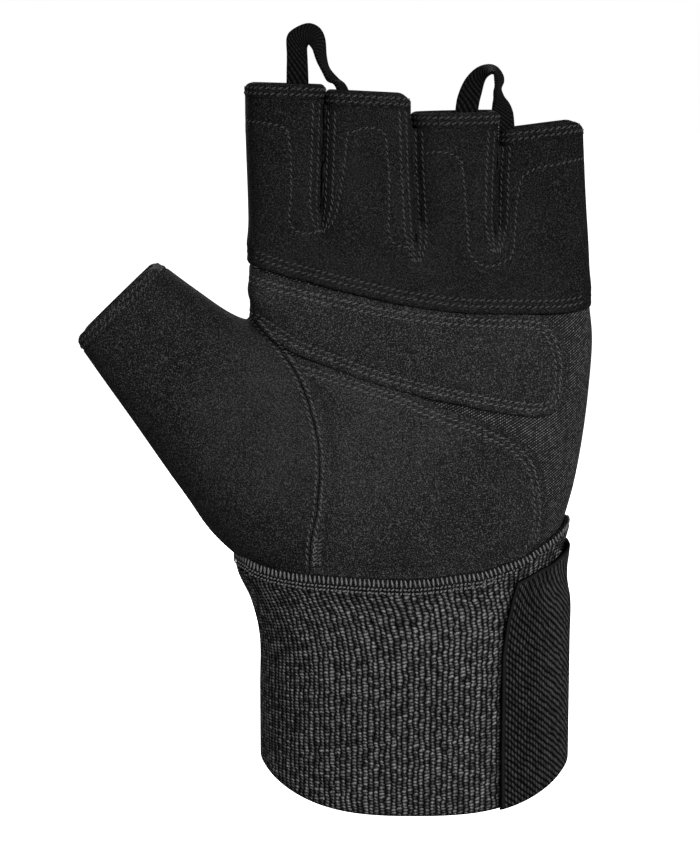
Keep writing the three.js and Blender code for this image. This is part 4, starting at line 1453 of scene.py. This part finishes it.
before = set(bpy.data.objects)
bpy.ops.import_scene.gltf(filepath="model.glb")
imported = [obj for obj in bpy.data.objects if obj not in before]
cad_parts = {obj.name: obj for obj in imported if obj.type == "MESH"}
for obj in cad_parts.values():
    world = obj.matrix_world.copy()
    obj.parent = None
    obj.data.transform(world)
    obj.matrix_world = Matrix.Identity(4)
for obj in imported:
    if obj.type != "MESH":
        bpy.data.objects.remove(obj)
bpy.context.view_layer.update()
add_camera()
add_studio()

form = hand_form()
print("scene: form", len(form.verts))
panel_suede = suede("finger_suede", PANEL_TONE, PANEL_LIGHT_POOL)
upper_suede = suede("upper_pad_suede", PAD_TONE, UPPER_PAD_LIGHT_POOL)
heel_suede = suede("heel_pad_suede", PAD_TONE, HEEL_PAD_LIGHT_POOL)
thumb_suede = suede("thumb_suede", THUMB_TONE, THUMB_LIGHT_POOL)
stretch = stretch_cloth()
ribbon = webbing()
thread = sewing_thread("thread", THREAD_TONE)
# Painted light: a lighter copy of the same thread, for the rows on the brighter lit palm.
lit_palm_thread = sewing_thread("lit_palm_thread", LIT_PALM_THREAD_TONE)
overlock_thread = sewing_thread("overlock_thread", OVERLOCK_TONE)

finger = finger_panel(form)
thumb = thumb_panel(form)
upper_pad = upper_palm_pad(form)
heel = heel_pad(form)
surface = front_surface(finger, thumb, upper_pad, heel)
print("scene: panels")
add_piece("finger_panel_suede", finger, panel_suede, "suede", "finger_panel", wall=WALL)
add_piece("thumb_panel_suede", thumb, thumb_suede, "suede", "thumb_panel", wall=WALL)
pads = [
    add_piece("upper_palm_pad_suede", upper_pad, upper_suede, "suede", "upper_palm_pad", wall=WALL),
    add_piece("heel_pad_suede", heel, heel_suede, "suede", "heel_pad", wall=WALL),
]
add_piece("back_panel_cloth", back_panel(form), stretch, "stretch", "back_panel", wall=WALL)
for name in STALLS:
    add_piece(f"hem_{name}_suede", stall_hem(name), panel_suede, "suede", f"hem_{name}")
add_piece("hem_thumb_suede", thumb_hem(), thumb_suede, "suede", "hem_thumb")
for number in range(3):
    pair = "_".join(FINGERS[number:number + 2])
    add_piece(f"fourchette_{pair}_cloth", fourchette(number), stretch, "stretch",
              f"fourchette_{pair}")
add_piece("cuff_knit", cuff_elastic(), knit(), "knit", "cuff_elastic", wall=WALL)
add_piece("cuff_binding_tape", cuff_binding(), panel_suede, "thread", "cuff_binding")
add_piece("wrist_strap_cloth", wrist_strap(), strap_cloth(), "strap_mesh", "wrist_strap",
          wall=STRAP_THICKNESS)
for name, rows in (("index_middle", TAB_INDEX_MIDDLE), ("ring_pinky", TAB_RING_PINKY)):
    add_piece(f"pull_tab_{name}_ribbon", pull_tab(rows), ribbon, "webbing", f"pull_tab_{name}",
              wall=TAB_WALL, offset=0.0, bevel=TAB_BEVEL)
print("scene: cloth")
add_piece("palm_stitches", palm_stitches(surface), lit_palm_thread, "thread")
add_piece("finger_stitches", finger_stitches(surface), thread, "thread")
add_piece("hem_stitches", hem_stitches(), thread, "thread")
add_piece("overlock_stitches", overlock_stitches(), overlock_thread, "thread")
print("scene: stitches")
